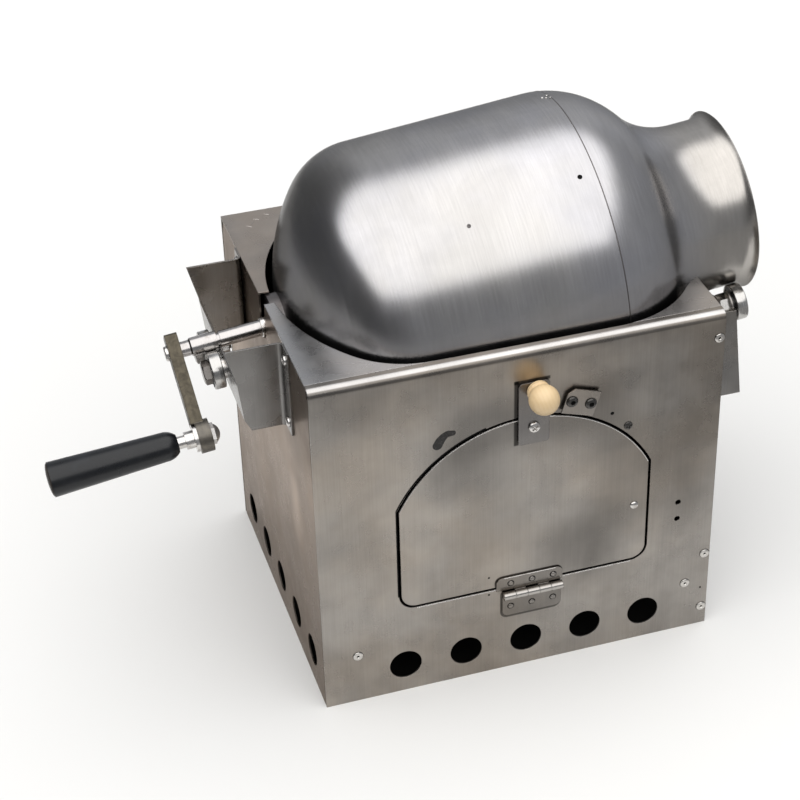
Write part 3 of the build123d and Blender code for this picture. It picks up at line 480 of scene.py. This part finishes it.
# Painted shade and highlight patches in millimetres: axis, place across and up, half sizes, corner, reach and
# strength; a negative strength makes a painted highlight
front_painted_shade = (
    # Painted shadow lines along the latch plate's left and top edges
    *edge_shadow_lines("latch_plate", left=2.4, above=1.6, reach=1.4, strength=0.8),
    # Painted shadow round the hinge leaves
    plate_shadow("hinge_upper_leaf", left=0.9, above=0.9, below=-8.0, corner=6.0, reach=0.8, strength=0.8),
    plate_shadow("hinge_lower_leaf", left=1.2, above=0.0, below=2.6, corner=6.0, reach=0.8, strength=0.7),
    # Darker patches of painted shade over the front
    ("X", 10.0, 242.0, 55.0, 8.0, 0.0, 34.0, 0.34),
    ("X", 48.0, 112.0, 8.0, 6.0, 0.0, 48.0, 0.42),
    ("X", 108.0, 168.0, 26.0, 28.0, 0.0, 46.0, 0.36),
    ("X", -50.0, 210.0, 10.0, 12.0, 0.0, 34.0, 0.22),
)
left_painted_light = (
    # A painted highlight streak on the left wall, by its negative strength
    ("Y", -75.0, 155.0, 0.0, 20.0, 0.0, 22.0, -0.45),
    # Painted shade along the top of the left wall, under the bracket and the shaft
    ("Y", 0.0, 280.0, 140.0, 25.0, 0.0, 55.0, 0.5),
)

# A finish for each material slot: its colour and roughness, and for sheets how mottled they are
finishes = {
    "box_steel": sheet_steel("box_steel", box_colour, 0.3, 0.13, soot_and_painted_light=True, low=0.92),
    "bracket_steel": sheet_steel("bracket_steel", (0.29, 0.275, 0.26), 0.27, 0.1),
    "drum_steel": drum_steel("drum_steel", (0.47, 0.465, 0.46), 0.24),
    "bright_steel": bright_steel("bright_steel", (0.66, 0.64, 0.62), 0.2),
    "bearing_steel": bright_steel("bearing_steel", (0.5, 0.49, 0.475), 0.2),
    "hinge_steel": sheet_steel("hinge_steel", (0.26, 0.24, 0.22), 0.24, 0.12),
    "rivet_steel": bright_steel("rivet_steel", (0.62, 0.6, 0.57), 0.3, grain=300.0),
    "arm_steel": arm_steel("arm_steel", (0.085, 0.076, 0.06), eye_colour=(0.4, 0.38, 0.36)),
    "grip_plastic": grip_plastic("grip_plastic", (0.006, 0.007, 0.009), gloss=0.42),
    "knob_wood": knob_wood("knob_wood", (0.8, 0.6, 0.35)),
    "black_screw": dark_metal("black_screw", (0.07, 0.067, 0.064), 0.22),
    "grate_iron": dark_metal("grate_iron", (0.02, 0.019, 0.018), 0.6),
}

# Finishes of the small pieces and marks made below
seal_rubber = grip_plastic("seal_rubber", (0.008, 0.008, 0.008), gloss=0.2)
grip_end_plastic = grip_plastic("grip_end_plastic", (0.042, 0.035, 0.03), gloss=0.26)
# Painted shade: dark discs in holes and recesses, and dark lines of shadow round heads and along the door's
# opening
painted_shade_dark = dark_metal("painted_shade_dark", (0.006, 0.006, 0.006), 0.8)
# Dark weld joints and rivet; on the shaft hub it is painted shade
weld_and_hub_shade_dark = bright_steel("weld_and_hub_shade_dark", (0.16, 0.15, 0.15), 0.4, grain=400.0)
# A darker copy of the bolt steel for the left side: painted shade
left_shaded_bolt = bright_steel("left_shaded_bolt", (0.24, 0.225, 0.21), 0.22, grain=400.0)
stain_dark = dark_metal("stain_dark", (0.045, 0.043, 0.042), 0.5)

# Nodes with a finish of their own
# The front sheets carry the painted shadow lines and the painted shade patches
front_steel = sheet_steel(
    "front_steel", box_colour, 0.3, 0.13, soot_and_painted_light=True, low=0.92, painted_patches=front_painted_shade
)
# The left wall carries a painted highlight, painted shade patches and strong painted shade towards the ground
side_steel = sheet_steel(
    "side_steel", (0.35, 0.312, 0.28), 0.3, 0.12, soot_and_painted_light=True, low=0.42, painted_patches=left_painted_light,
    edge=(0.78, 0.71, 0.66),
)
leaf_steel = paint_knuckle_highlight(
    sheet_steel("leaf_steel", (0.2, 0.183, 0.166), 0.22, 0.12), (0.46, 0.44, 0.415)
)
node_finishes = {
    "hinge_upper_leaf": leaf_steel,
    "hinge_lower_leaf": leaf_steel,
    "front_panel": front_steel,
    "door_panel": front_steel,
    "left_panel": side_steel,
    # Lighter copies of the box steel on the top plates: painted light from above
    "top_front_left": sheet_steel("corner_painted_light_steel", (0.5, 0.488, 0.482), 0.28, 0.04, soot_and_painted_light=True),
    "top_front_right": sheet_steel("corner_right_painted_light_steel", (0.46, 0.445, 0.435), 0.28, 0.06, soot_and_painted_light=True),
    "top_rear": sheet_steel("top_painted_light_steel", (0.38, 0.338, 0.302), 0.3, 0.08, soot_and_painted_light=True),
    # A darker copy of the bracket steel for the left bracket: painted shade
    "left_bracket": sheet_steel("left_bracket_shaded_steel", (0.26, 0.247, 0.234), 0.27, 0.1),
    "latch_plate": sheet_steel("latch_steel", (0.2, 0.187, 0.178), 0.28, 0.1),
    "keeper_plate": sheet_steel("keeper_steel", (0.31, 0.285, 0.262), 0.28, 0.1),
    "crank_shaft": bright_steel("shaft_steel", (0.5, 0.48, 0.47), 0.2),
    "cap_nut": bright_steel("nut_steel", (0.8, 0.78, 0.76), 0.42),
    # Painted shade: the hub takes the dark weld finish where it lies in shadow behind the drum's dome
    "shaft_hub": weld_and_hub_shade_dark,
}


def dress_nodes():
    """Gives each node its own finish, or its slot's."""
    for row in frame["record"]["subparts"]:
        mesh = nodes[row["node"]].data
        mesh.materials.clear()
        mesh.materials.append(node_finishes.get(row["node"], finishes[row["material_slot"]]))


# Studio
def make_camera():
    """Camera with the photograph's place, direction and lens."""
    data = bpy.data.cameras.new("camera")
    data.lens = camera_lens
    data.sensor_width = sensor_width
    camera = bpy.data.objects.new("camera", data)
    bpy.context.scene.collection.objects.link(camera)
    back = camera_back.normalized()
    right = (camera_right - back * camera_right.dot(back)).normalized()
    turn = Matrix((right, back.cross(right), back)).transposed()
    camera.matrix_world = Matrix.Translation(camera_place) @ turn.to_4x4()
    bpy.context.scene.camera = camera


def make_world():
    """A large soft light overhead, between walls that are lighter to the right."""
    world = bpy.data.worlds.new("studio")
    world.use_nodes = True
    bpy.context.scene.world = world
    tree = world.node_tree
    background = tree.nodes["Background"]
    split = split_of(tree, add_node(tree, "ShaderNodeTexCoord").outputs["Generated"])
    height = calculate(tree, "MAXIMUM", split["Z"], least_height)
    across = calculate(tree, "DIVIDE", split["X"], height)
    along = calculate(tree, "DIVIDE", split["Y"], height)
    open_sky = fade(tree, split["Z"], *sky_rise)
    for value, edge, low, high in (
        (across, sky_left, 0.0, 1.0),
        (across, sky_right, 1.0, 0.0),
        (along, sky_front, 0.0, 1.0),
        (along, sky_rear, 1.0, 0.0),
    ):
        side = fade(tree, value, edge - sky_softness, edge + sky_softness, low, high)
        open_sky = multiply(tree, open_sky, side)
    tree.links.new(mix_colour(tree, open_sky, wall_colour, sky_colour), background.inputs["Color"])
    wall = fade(tree, split["X"], *wall_turn, wall_left, wall_right)
    glow = fade(tree, split["Y"], *rear_glow_y, 0.0, rear_glow)
    glow = multiply(tree, glow, fade(tree, split["X"], *rear_glow_x))
    wall = calculate(tree, "ADD", wall, glow)
    tree.links.new(fade(tree, open_sky, 0.0, 1.0, wall, sky_strength), background.inputs["Strength"])


def add_ground(name, points, height, colour):
    """A flat matte sheet through the given points."""
    mesh = bmesh.new()
    mesh.faces.new([mesh.verts.new((x, y, height)) for x, y in points])
    data = bpy.data.meshes.new(name)
    mesh.to_mesh(data)
    mesh.free()
    sheet = bpy.data.objects.new(name, data)
    bpy.context.scene.collection.objects.link(sheet)
    material, _, shader = new_material(name, colour, metallic=0.0, roughness=0.9)
    shader.inputs["Specular IOR Level"].default_value = ground_gloss
    data.materials.append(material)


def make_floor():
    """Pale paper that fills the picture's view of the floor, on a round grey ground."""
    add_ground("paper", paper_corners, 0.0, paper_colour)
    rim = [(ground_radius * cos(t), ground_radius * sin(t)) for t in turns_round(ground_points)]
    add_ground("ground", rim, -ground_drop, ground_colour)


# Mesh helpers
def turns_round(count):
    """Equal steps round a circle."""
    return [2 * pi * i / count for i in range(count)]


def place_of(origin, way):
    """Matrix that puts local Z along a direction at a point, with local X as level as it can be."""
    z = Vector(way).normalized()
    level = Vector((0, 0, 1)).cross(z)
    x = level.normalized() if level.length > 0.01 else Vector((1, 0, 0))
    return Matrix.Translation(Vector(origin)) @ Matrix((x, z.cross(x), z)).transposed().to_4x4()


def finish_piece(mesh, name, body, slot, material=None, sharp=35.0):
    """Turns a bmesh into a smooth-shaded piece that rides on a body."""
    bmesh.ops.remove_doubles(mesh, verts=mesh.verts, dist=0.001 * mm)
    bmesh.ops.recalc_face_normals(mesh, faces=mesh.faces)
    for face in mesh.faces:
        face.smooth = True
    for edge in mesh.edges:
        edge.smooth = len(edge.link_faces) == 2 and edge.calc_face_angle(0) < radians(sharp)
    data = bpy.data.meshes.new(name)
    mesh.to_mesh(data)
    mesh.free()
    piece = bpy.data.objects.new(name, data)
    bpy.context.scene.collection.objects.link(piece)
    data.materials.append(material or finishes[slot])
    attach(piece, body)
    return piece


def add_rings(mesh, matrix, rings, base=True, top=True):
    """Skins rings of points, each a list of local points, and closes the first one and the last one."""
    loops = [[mesh.verts.new(matrix @ Vector(point)) for point in ring] for ring in rings]
    count = len(loops[0])
    for lower, upper in zip(loops, loops[1:]):
        for i in range(count):
            j = (i + 1) % count
            mesh.faces.new((lower[i], lower[j], upper[j], upper[i]))
    if base:
        mesh.faces.new(loops[0])
    if top:
        mesh.faces.new(loops[-1])


def add_lathe(mesh, matrix, profile, segments=48):
    """Turns a profile of (radius, height) points about local Z.

    The profile runs from axis to axis, or ends where it began.
    """
    turns = turns_round(segments)
    rings = [[(radius * cos(t), radius * sin(t), height) for t in turns] for radius, height in profile]
    add_rings(mesh, matrix, rings, base=False, top=False)


def add_head(mesh, matrix, radius, height, recess, dome=0.5, rings=14, segments=48):
    """A round head: straight rim, domed top, and a recess given as a depth at each point."""
    turns = turns_round(segments)
    rim = height * (1 - dome)
    floor = height * 0.05
    loops = [[(radius * cos(t), radius * sin(t), 0) for t in turns]]
    for step in range(rings + 1):
        r = radius * (1 - step / rings)
        top = rim + (height - rim) * (1 - (r / radius) ** 2) ** 0.5
        spots = [(r * cos(t), r * sin(t)) for t in turns]
        loops.append([(x, y, max(top - recess(x, y), floor)) for x, y in spots])
    add_rings(mesh, matrix, loops, top=False)


def add_hex(mesh, matrix, flats, height, chamfer=0.93, segments=72):
    """A hexagon head or nut with its corners turned off at the top."""
    def corner(t):
        return flats / 2 / cos((t % (pi / 3)) - pi / 6)

    slope = tan(radians(30))
    turns = turns_round(segments)
    top = flats / 2 * chamfer
    base = [(corner(t) * cos(t), corner(t) * sin(t), 0) for t in turns]
    edge = []
    for t in turns:
        drop = (corner(t) - top) * slope
        edge.append((corner(t) * cos(t), corner(t) * sin(t), height - drop))
    face = [(top * cos(t), top * sin(t), height) for t in turns]
    add_rings(mesh, matrix, [base, edge, face])


def add_bead(mesh, path, radius, segments=8):
    """A thin round bead along a path of points."""
    rings = []
    for i, point in enumerate(path):
        way = (path[min(i + 1, len(path) - 1)] - path[max(i - 1, 0)]).normalized()
        across = way.cross(Vector((0, 1, 0))).normalized()
        ring = []
        for t in turns_round(segments):
            ring.append(point + across * (radius * cos(t)) + Vector((0, radius * sin(t), 0)))
        rings.append(ring)
    add_rings(mesh, Matrix(), rings)


def cross_recess(length, width, depth, turn):
    """A cross slot."""
    def depth_at(x, y):
        a = abs(x * cos(turn) + y * sin(turn))
        b = abs(y * cos(turn) - x * sin(turn))
        inside = (a < length / 2 and b < width / 2) or (b < length / 2 and a < width / 2)
        return depth if inside else 0.0
    return depth_at


def round_recess(radius, depth):
    """A round hole with sloping sides."""
    slope = radius * 0.35

    def depth_at(x, y):
        return depth * min(1.0, max(0.0, (radius - hypot(x, y)) / slope))
    return depth_at


def hex_recess(flats, depth):
    """A hexagon socket."""
    def depth_at(x, y):
        t = atan2(y, x) % (pi / 3)
        return depth if hypot(x, y) * cos(t - pi / 6) < flats / 2 else 0.0
    return depth_at


def plain(x, y):
    """No recess."""
    return 0.0


def on_front(x, z):
    """Matrix for a piece on the front panel, at millimetres across and up."""
    return place_of((x * mm, front_face, z * mm), front_way)


# Measuring the frame's own nodes
def points_of(name):
    """World points of a node's mesh."""
    piece = nodes[name]
    return [piece.matrix_world @ vertex.co for vertex in piece.data.vertices]


def clumps(name, reach):
    """Boxes round the separate solids of a node, which lie further apart than the reach."""
    groups = []
    for point in points_of(name):
        near = [group for group in groups if any((point - other).length < reach for other in group)]
        joined = [point]
        for group in near:
            joined += group
            groups.remove(group)
        groups.append(joined)
    boxes = []
    for group in groups:
        low = Vector([min(point[i] for point in group) for i in range(3)])
        high = Vector([max(point[i] for point in group) for i in range(3)])
        boxes.append((low, high))
    return boxes


def station_of(point):
    """Distance of a point along the drum's axis."""
    return (point - axis_start).dot(axis_way)


def radius_of(point):
    """Distance of a point from the drum's axis."""
    return (point - axis_start - axis_way * station_of(point)).length


def ends_of(name, centre):
    """Lowest and highest station of a node's points on the same side, in Y, as a centre."""
    stations = [station_of(point) for point in points_of(name) if point.y * centre.y > 0]
    return min(stations), max(stations)


# Heads of rivets and screws, each with its own recess
head_reach = 4.5 * mm
mark_lift = 0.06 * mm
mark_inset = 0.98
core_segments = 24


def dress_heads(name, body, slot, way, recess, dome, core=0.0, ring=0.0, size=1.0):
    """Replaces a node of round heads that face along one direction, or both ends of it.

    A core is the radius of a disc of painted shade in each head's hole; a ring is the width of the line of painted
    shadow round it; the size is the head's share of the node's radius.
    """
    mesh = bmesh.new()
    marks = bmesh.new()
    way = Vector(way)
    axis = max(range(3), key=lambda i: abs(way[i]))
    for low, high in clumps(name, head_reach):
        centre = (low + high) / 2
        face = way if centre[axis] * way[axis] > 0 else -way
        base = Vector(centre)
        base[axis] = low[axis] if face[axis] > 0 else high[axis]
        height = high[axis] - low[axis]
        radius = max(high[i] - low[i] for i in range(3) if i != axis) / 2 * size
        matrix = place_of(base, face)
        add_head(mesh, matrix, radius, height, recess, dome)
        # Painted shade: a dark disc in the head's hole, and a dark ring of painted shadow round the head
        if core:
            depth = height - recess(0.0, 0.0)
            lid = depth + mark_lift
            add_lathe(marks, matrix, [(0, depth), (core, depth), (core, lid), (0, lid)], core_segments)
        inner, outer = radius * mark_inset, radius + ring
        add_lathe(marks, matrix, [(inner, 0), (outer, 0), (outer, mark_lift), (inner, mark_lift), (inner, 0)])
    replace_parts(finish_piece(mesh, name + "_heads", body, slot), name)
    finish_piece(marks, name + "_painted_shade", body, slot, painted_shade_dark)


def dress_all_heads():
    """Rivets, hinge screws, keeper screws and bracket screws."""
    blind = round_recess(1.5 * mm, 1.0 * mm)
    for name in ("corner_rivets", "ledge_rivets"):
        dress_heads(
            name, "firebox", "rivet_steel", front_way, blind, dome=0.6, core=1.25 * mm, ring=0.3 * mm
        )
    dimple = round_recess(1.3 * mm, 0.5 * mm)
    for name, body in (("hinge_lower_screws", "firebox"), ("hinge_upper_screws", "door")):
        dress_heads(name, body, "hinge_steel", front_way, dimple, dome=0.8, ring=0.6 * mm, size=0.72)
    socket = hex_recess(3.6 * mm, 1.5 * mm)
    dress_heads(
        "keeper_screws", "firebox", "black_screw", front_way, socket, dome=0.8, core=1.7 * mm, ring=0.3 * mm
    )
    cross = cross_recess(4.4 * mm, 1.0 * mm, 1.2 * mm, radians(30))
    for side, way in (("left", (-1, 0, 0)), ("right", (1, 0, 0))):
        name = side + "_bracket_screws"
        dress_heads(name, "firebox", "bright_steel", way, cross, dome=0.6, ring=0.5 * mm)


def dress_pivot():
    """Latch pivot: a domed cross-head screw with its shank."""
    head_height = 2.6 * mm
    shank = 2.5 * mm
    recess = cross_recess(5.2 * mm, 1.1 * mm, 1.3 * mm, radians(38))
    low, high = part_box("latch_pivot")
    centre = (low + high) / 2
    seat = Vector((centre.x, low.y + head_height, centre.z))
    length = high.y - seat.y
    mesh = bmesh.new()
    add_head(
        mesh, place_of(seat, front_way), (high.x - low.x) / 2, head_height, recess,
        dome=0.6, rings=22, segments=72,
    )
    add_lathe(mesh, place_of(seat, (0, 1, 0)), [(0, 0), (shank, 0), (shank, length), (0, length)])
    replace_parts(finish_piece(mesh, "latch_pivot_screw", "door", "bright_steel"), "latch_pivot")


def dress_grip_end():
    """Domed plug in the grip's free end, a little smaller than the end."""
    plug_share = 0.94
    steps = 12
    points = points_of("grip_cap")
    stations = [station_of(point) for point in points]
    centre = sum(points, Vector()) / len(points)
    centre += axis_way * (max(stations) - station_of(centre))
    height = max(stations) - min(stations)
    offsets = [point - centre for point in points]
    radius = plug_share * max((offset - axis_way * offset.dot(axis_way)).length for offset in offsets)
    turns = [pi / 2 * i / steps for i in range(steps)]
    profile = [(0, 0)] + [(radius * cos(t), height * sin(t)) for t in turns] + [(0, height)]
    mesh = bmesh.new()
    add_lathe(mesh, place_of(centre, -axis_way), profile, segments=64)
    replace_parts(finish_piece(mesh, "grip_end", "grip", "grip_plastic", grip_end_plastic), "grip_cap")


# Roller bearings, their bolts and nuts: sections by radius and height in millimetres
bearing_ring = [
    (13.4, -4.5), (14.3, -4.5), (14.7, -4.3), (14.9, -4.0), (15.0, -3.6), (15.0, 3.6), (14.9, 4.0),
    (14.7, 4.3), (14.3, 4.5), (13.4, 4.5), (13.2, 4.2), (13.1, 3.3), (13.1, -3.3), (13.2, -4.2), (13.4, -4.5),
]
bearing_seal = [
    (8.6, 3.3), (8.6, 3.8), (9.0, 4.1), (9.8, 4.1), (10.2, 3.8), (11.6, 3.8), (12.0, 4.1), (12.8, 4.1),
    (13.2, 3.8), (13.2, 3.3), (8.6, 3.3),
]
bearing_segments = 72
thread_length = 8 * mm
thread_pitch = 1.5 * mm
thread_root = 4.4 * mm
tip_radius = 4.3 * mm
shank_segments = 36


def dress_rollers():
    """Outer rings with rounded edges, and grooved rubber seals on both sides."""
    for place in ("left_front", "left_rear", "right_front", "right_rear"):
        matrix = place_of(Vector(joints[place + "_spin"]["pos_m"]), axis_way)
        body = place + "_wheel"
        mesh = bmesh.new()
        add_lathe(mesh, matrix, [(r * mm, h * mm) for r, h in bearing_ring], bearing_segments)
        ring = finish_piece(mesh, place + "_bearing_ring", body, "bearing_steel", sharp=50.0)
        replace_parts(ring, place + "_roller")
        mesh = bmesh.new()
        for way in (-1, 1):
            add_lathe(mesh, matrix, [(r * mm, way * h * mm) for r, h in bearing_seal], bearing_segments)
        finish_piece(mesh, place + "_bearing_seals", body, "bearing_steel", seal_rubber)


def bolt_shank(length):
    """Section of a bolt's shank, threaded at its end."""
    depth = -length + thread_length
    shank = [(0, 0), (bolt_radius, 0), (bolt_radius, depth)]
    while depth - thread_pitch > -length:
        shank += [(thread_root, depth - thread_pitch / 2), (bolt_radius, depth - thread_pitch)]
        depth -= thread_pitch
    return shank + [(tip_radius, -length), (0, -length)]


def dress_axles():
    """Hexagon bolts with turned corners and thread ends, and chamfered nuts."""
    for side, way in (("left", -1), ("right", 1)):
        bolts = bmesh.new()
        nuts = bmesh.new()
        out = axis_way * way
        # Painted shade: the left bolts get a darker copy of the bolt steel
        finish = left_shaded_bolt if side == "left" else finishes["bright_steel"]
        for place in ("front", "rear"):
            centre = Vector(joints[f"{side}_{place}_spin"]["pos_m"])
            middle = station_of(centre)
            low, high = ends_of(side + "_axle_bolts", centre)
            head_end, tip = (low, high) if way < 0 else (high, low)
            seat = middle + way * bearing_half
            seat_place = place_of(centre + axis_way * (seat - middle), out)
            add_hex(bolts, seat_place, bolt_flats, abs(head_end - seat))
            add_lathe(bolts, seat_place, bolt_shank(abs(tip - seat)), shank_segments)
            low, high = ends_of(side + "_axle_nuts", centre)
            nut_face = high if way > 0 else low
            nut_place = place_of(centre + axis_way * (nut_face - middle), -out)
            add_hex(nuts, nut_place, bolt_flats, high - low)
        bolt_piece = finish_piece(bolts, side + "_hex_bolts", "firebox", "bright_steel", finish)
        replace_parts(bolt_piece, side + "_axle_bolts")
        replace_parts(finish_piece(nuts, side + "_hex_nuts", "firebox", "bright_steel"), side + "_axle_nuts")


# Marks on the drum, by station in millimetres and turn in degrees, the specks with their radius too; the
# seam's section says how far out of the skin and along the axis, in millimetres
seam_section = [(-0.6, -0.7), (0.12, -0.45), (0.2, 0.0), (0.05, 0.45), (-0.7, 0.8), (-0.6, -0.7)]
seam_segments = 180
seam_room = 0.05 * mm
drum_rivet_spot = (-12.7, 132.2)
drum_rivet_radius = 1.6 * mm
drum_rivet_height = 0.5 * mm
pin_hole_spot = (80.1, 125.7)
pin_hole_radius = 1.9 * mm
pin_hole_lift = 0.12 * mm
weld_spots = ((86.5, 80.2, 1.3), (89.0, 81.4, 1.0), (91.2, 79.0, 1.1), (92.0, 82.0, 0.8))
speck_height = 0.7 * mm
speck_sink = 0.3 * mm


def on_drum(station, turn, sink=0.0):
    """Matrix for a piece on the drum's skin; the turn is counted from +Y."""
    out = Vector((0, cos(radians(turn)), 0)) + axis_up * sin(radians(turn))
    place = axis_start + axis_way * (station * mm) + out * drum_radius
    return place_of(place - out * sink, out)


def dress_drum():
    """The weld seam, a blind rivet, a small hole drawn as a dark disc of painted shade, and a few specks of weld.
    """
    neck = points_of("drum_neck")
    seam = min(station_of(point) for point in neck)
    radius = max(radius_of(point) for point in neck if station_of(point) < seam + seam_room)
    section = [(radius + r * mm, h * mm) for r, h in seam_section]
    mesh = bmesh.new()
    add_lathe(mesh, place_of(axis_start + axis_way * seam, axis_way), section, seam_segments)
    for vertex in mesh.verts:
        vertex.co.z = min(vertex.co.z, cad_high.z)
    finish_piece(mesh, "weld_seam", "drum", "drum_steel", weld_and_hub_shade_dark)
    mesh = bmesh.new()
    recess = round_recess(0.8 * mm, 0.4 * mm)
    add_head(mesh, on_drum(*drum_rivet_spot), drum_rivet_radius, drum_rivet_height, recess, dome=0.7)
    finish_piece(mesh, "drum_rivet", "drum", "drum_steel", weld_and_hub_shade_dark)
    mesh = bmesh.new()
    add_head(mesh, on_drum(*pin_hole_spot), pin_hole_radius, pin_hole_lift, plain)
    finish_piece(mesh, "drum_pin_hole", "drum", "drum_steel", painted_shade_dark)
    mesh = bmesh.new()
    for station, turn, size in weld_spots:
        matrix = on_drum(station, turn, speck_sink)
        add_head(mesh, matrix, size * mm, speck_height, plain, dome=0.8, rings=6, segments=16)
    finish_piece(mesh, "weld_specks", "drum", "drum_steel", finishes["bright_steel"])


# Marks on the front panel and the rear top plate, in millimetres: holes and stain with a radius at each point
pilot_holes = ((74.0, 233.5, 1.5), (-26.7, 97.4, 0.9), (-26.7, 80.0, 0.9), (158.8, 38.4, 0.9))
hole_lift = 0.08 * mm
panel_screw_spot = (87.7, 219.0)
panel_screw_height = 1.5 * mm
door_rivet_spot = (95.6, 139.8)
door_rivet_height = 2.0 * mm
small_head_radius = 3.6 * mm
stain_line = (
    (-67.3, 236.3, 4.0), (-65.4, 240.0, 3.8), (-62.7, 243.2, 3.3), (-59.4, 245.5, 2.7), (-55.0, 245.1, 2.3),
)
stain_steps = 40
stain_end_steps = 12
scratches = (
    ((-148.5, 115.2), (-144.8, 112.0)),
    ((-144.0, 116.5), (-140.6, 121.0)),
    ((-140.4, 124.5), (-136.0, 122.6)),
    ((-130.4, 130.2), (-126.4, 127.6)),
)
scratch_radius = 0.22 * mm

# Beads along the door's edges
bead_radius = 0.5 * mm
arch_steps = 48
shadow_share = 0.75
corner_room = 12 * mm
hinge_room = 6 * mm


def add_stain(mesh, line):
    """A flat patch with round ends along a line of points, each with its own half width."""
    edge = []
    for side in (1, -1):
        steps = range(stain_steps + 1) if side > 0 else range(stain_steps, -1, -1)
        for step in steps:
            t = step / stain_steps * (len(line) - 1)
            i = min(int(t), len(line) - 2)
            k = t - i
            k = k * k * (3 - 2 * k)
            x, z, half = (line[i][n] * (1 - k) + line[i + 1][n] * k for n in range(3))
            turn = atan2(line[i + 1][1] - line[i][1], line[i + 1][0] - line[i][0])
            edge.append((x - sin(turn) * half * side, z + cos(turn) * half * side))
        x, z, half = line[-1] if side > 0 else line[0]
        before = line[-2] if side > 0 else line[1]
        turn = atan2(z - before[1], x - before[0])
        for step in range(1, stain_end_steps):
            a = turn + pi / 2 - step * pi / stain_end_steps
            edge.append((x + cos(a) * half, z + sin(a) * half))
    rings = [[(x * mm, front_face - depth, z * mm) for x, z in edge] for depth in (0.0, mark_lift)]
    add_rings(mesh, Matrix(), rings)


def dress_front():
    """Small holes drawn as dark discs of painted shade, a domed screw, a door rivet and a dark stain above the
    arch.
    """
    mesh = bmesh.new()
    for x, z, radius in pilot_holes:
        add_head(mesh, on_front(x, z), radius * mm, hole_lift, plain, dome=0.5, rings=5, segments=24)
    finish_piece(mesh, "pilot_holes", "firebox", "box_steel", painted_shade_dark)
    mesh = bmesh.new()
    slot = cross_recess(4.6 * mm, 1.0 * mm, 0.9 * mm, radians(20))
    matrix = on_front(*panel_screw_spot)
    add_head(mesh, matrix, small_head_radius, panel_screw_height, slot, dome=0.8, rings=18, segments=64)
    finish_piece(mesh, "panel_screw", "firebox", "black_screw")
    mesh = bmesh.new()
    matrix = on_front(*door_rivet_spot)
    add_head(mesh, matrix, small_head_radius, door_rivet_height, plain, dome=0.9, rings=12, segments=48)
    finish_piece(mesh, "door_rivet", "door", "bright_steel")
    mesh = bmesh.new()
    add_stain(mesh, stain_line)
    finish_piece(mesh, "panel_stain", "firebox", "box_steel", stain_dark)


def bead_piece(name, body, slot, paths, material, radius=bead_radius):
    """A piece made of thin beads along paths of points."""
    mesh = bmesh.new()
    for path in paths:
        add_bead(mesh, path, radius)
    finish_piece(mesh, name, body, slot, material)


def dress_door_edges():
    """Bright burrs along the door's arch, the lower edge of its opening and the hinge's top edge.

    A line of painted shadow follows the opening's left side and part of its arch.
    """
    bright = finishes["bright_steel"]
    low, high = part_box("door_panel")
    centre_x = (low.x + high.x) / 2
    half = (high.x - low.x) / 2
    arch = (half**2 + arch_rise**2) / (2 * arch_rise)
    arch_z = high.z - arch
    limit = atan2(half, arch - arch_rise)

    def on_arch(radius, turn):
        return Vector((centre_x + radius * sin(turn), front_face, arch_z + radius * cos(turn)))

    inset = arch - bead_radius
    burr = [on_arch(inset, limit * (i / arch_steps - 1)) for i in range(2 * arch_steps + 1)]
    bead_piece("door_burr", "door", "box_steel", [burr], bright)
    past = door_gap + bead_radius
    shadow_line = [Vector((centre_x - half - past, front_face, low.z + corner_room))]
    shadow_line += [on_arch(arch + past, limit * (shadow_share * i / arch_steps - 1)) for i in range(arch_steps + 1)]
    bead_piece("opening_shadow", "firebox", "box_steel", [shadow_line], painted_shade_dark)
    ends = (centre_x - half + corner_room, centre_x + half - corner_room)
    burr = [Vector((x, front_face, low.z - past)) for x in ends]
    bead_piece("opening_burr", "firebox", "box_steel", [burr], bright)
    low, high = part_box("hinge_upper_leaf")
    ends = (low.x + hinge_room, high.x - hinge_room)
    rim = [Vector((x, front_face - leaf_thickness, high.z - bead_radius)) for x in ends]
    bead_piece("hinge_rim", "door", "hinge_steel", [rim], bright)


def dress_top():
    """Short bright scratches on the plate behind the drum."""
    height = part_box("top_rear")[1].z
    paths = [[Vector((x * mm, y * mm, height)) for x, y in scratch] for scratch in scratches]
    bead_piece("top_scratches", "firebox", "box_steel", paths, finishes["bright_steel"], scratch_radius)


make_camera()
make_world()
make_floor()
dress_nodes()
dress_all_heads()
dress_pivot()
dress_grip_end()
dress_rollers()
dress_axles()
dress_drum()
dress_front()
dress_door_edges()
dress_top()

bpy.context.scene.view_settings.view_transform = "Standard"
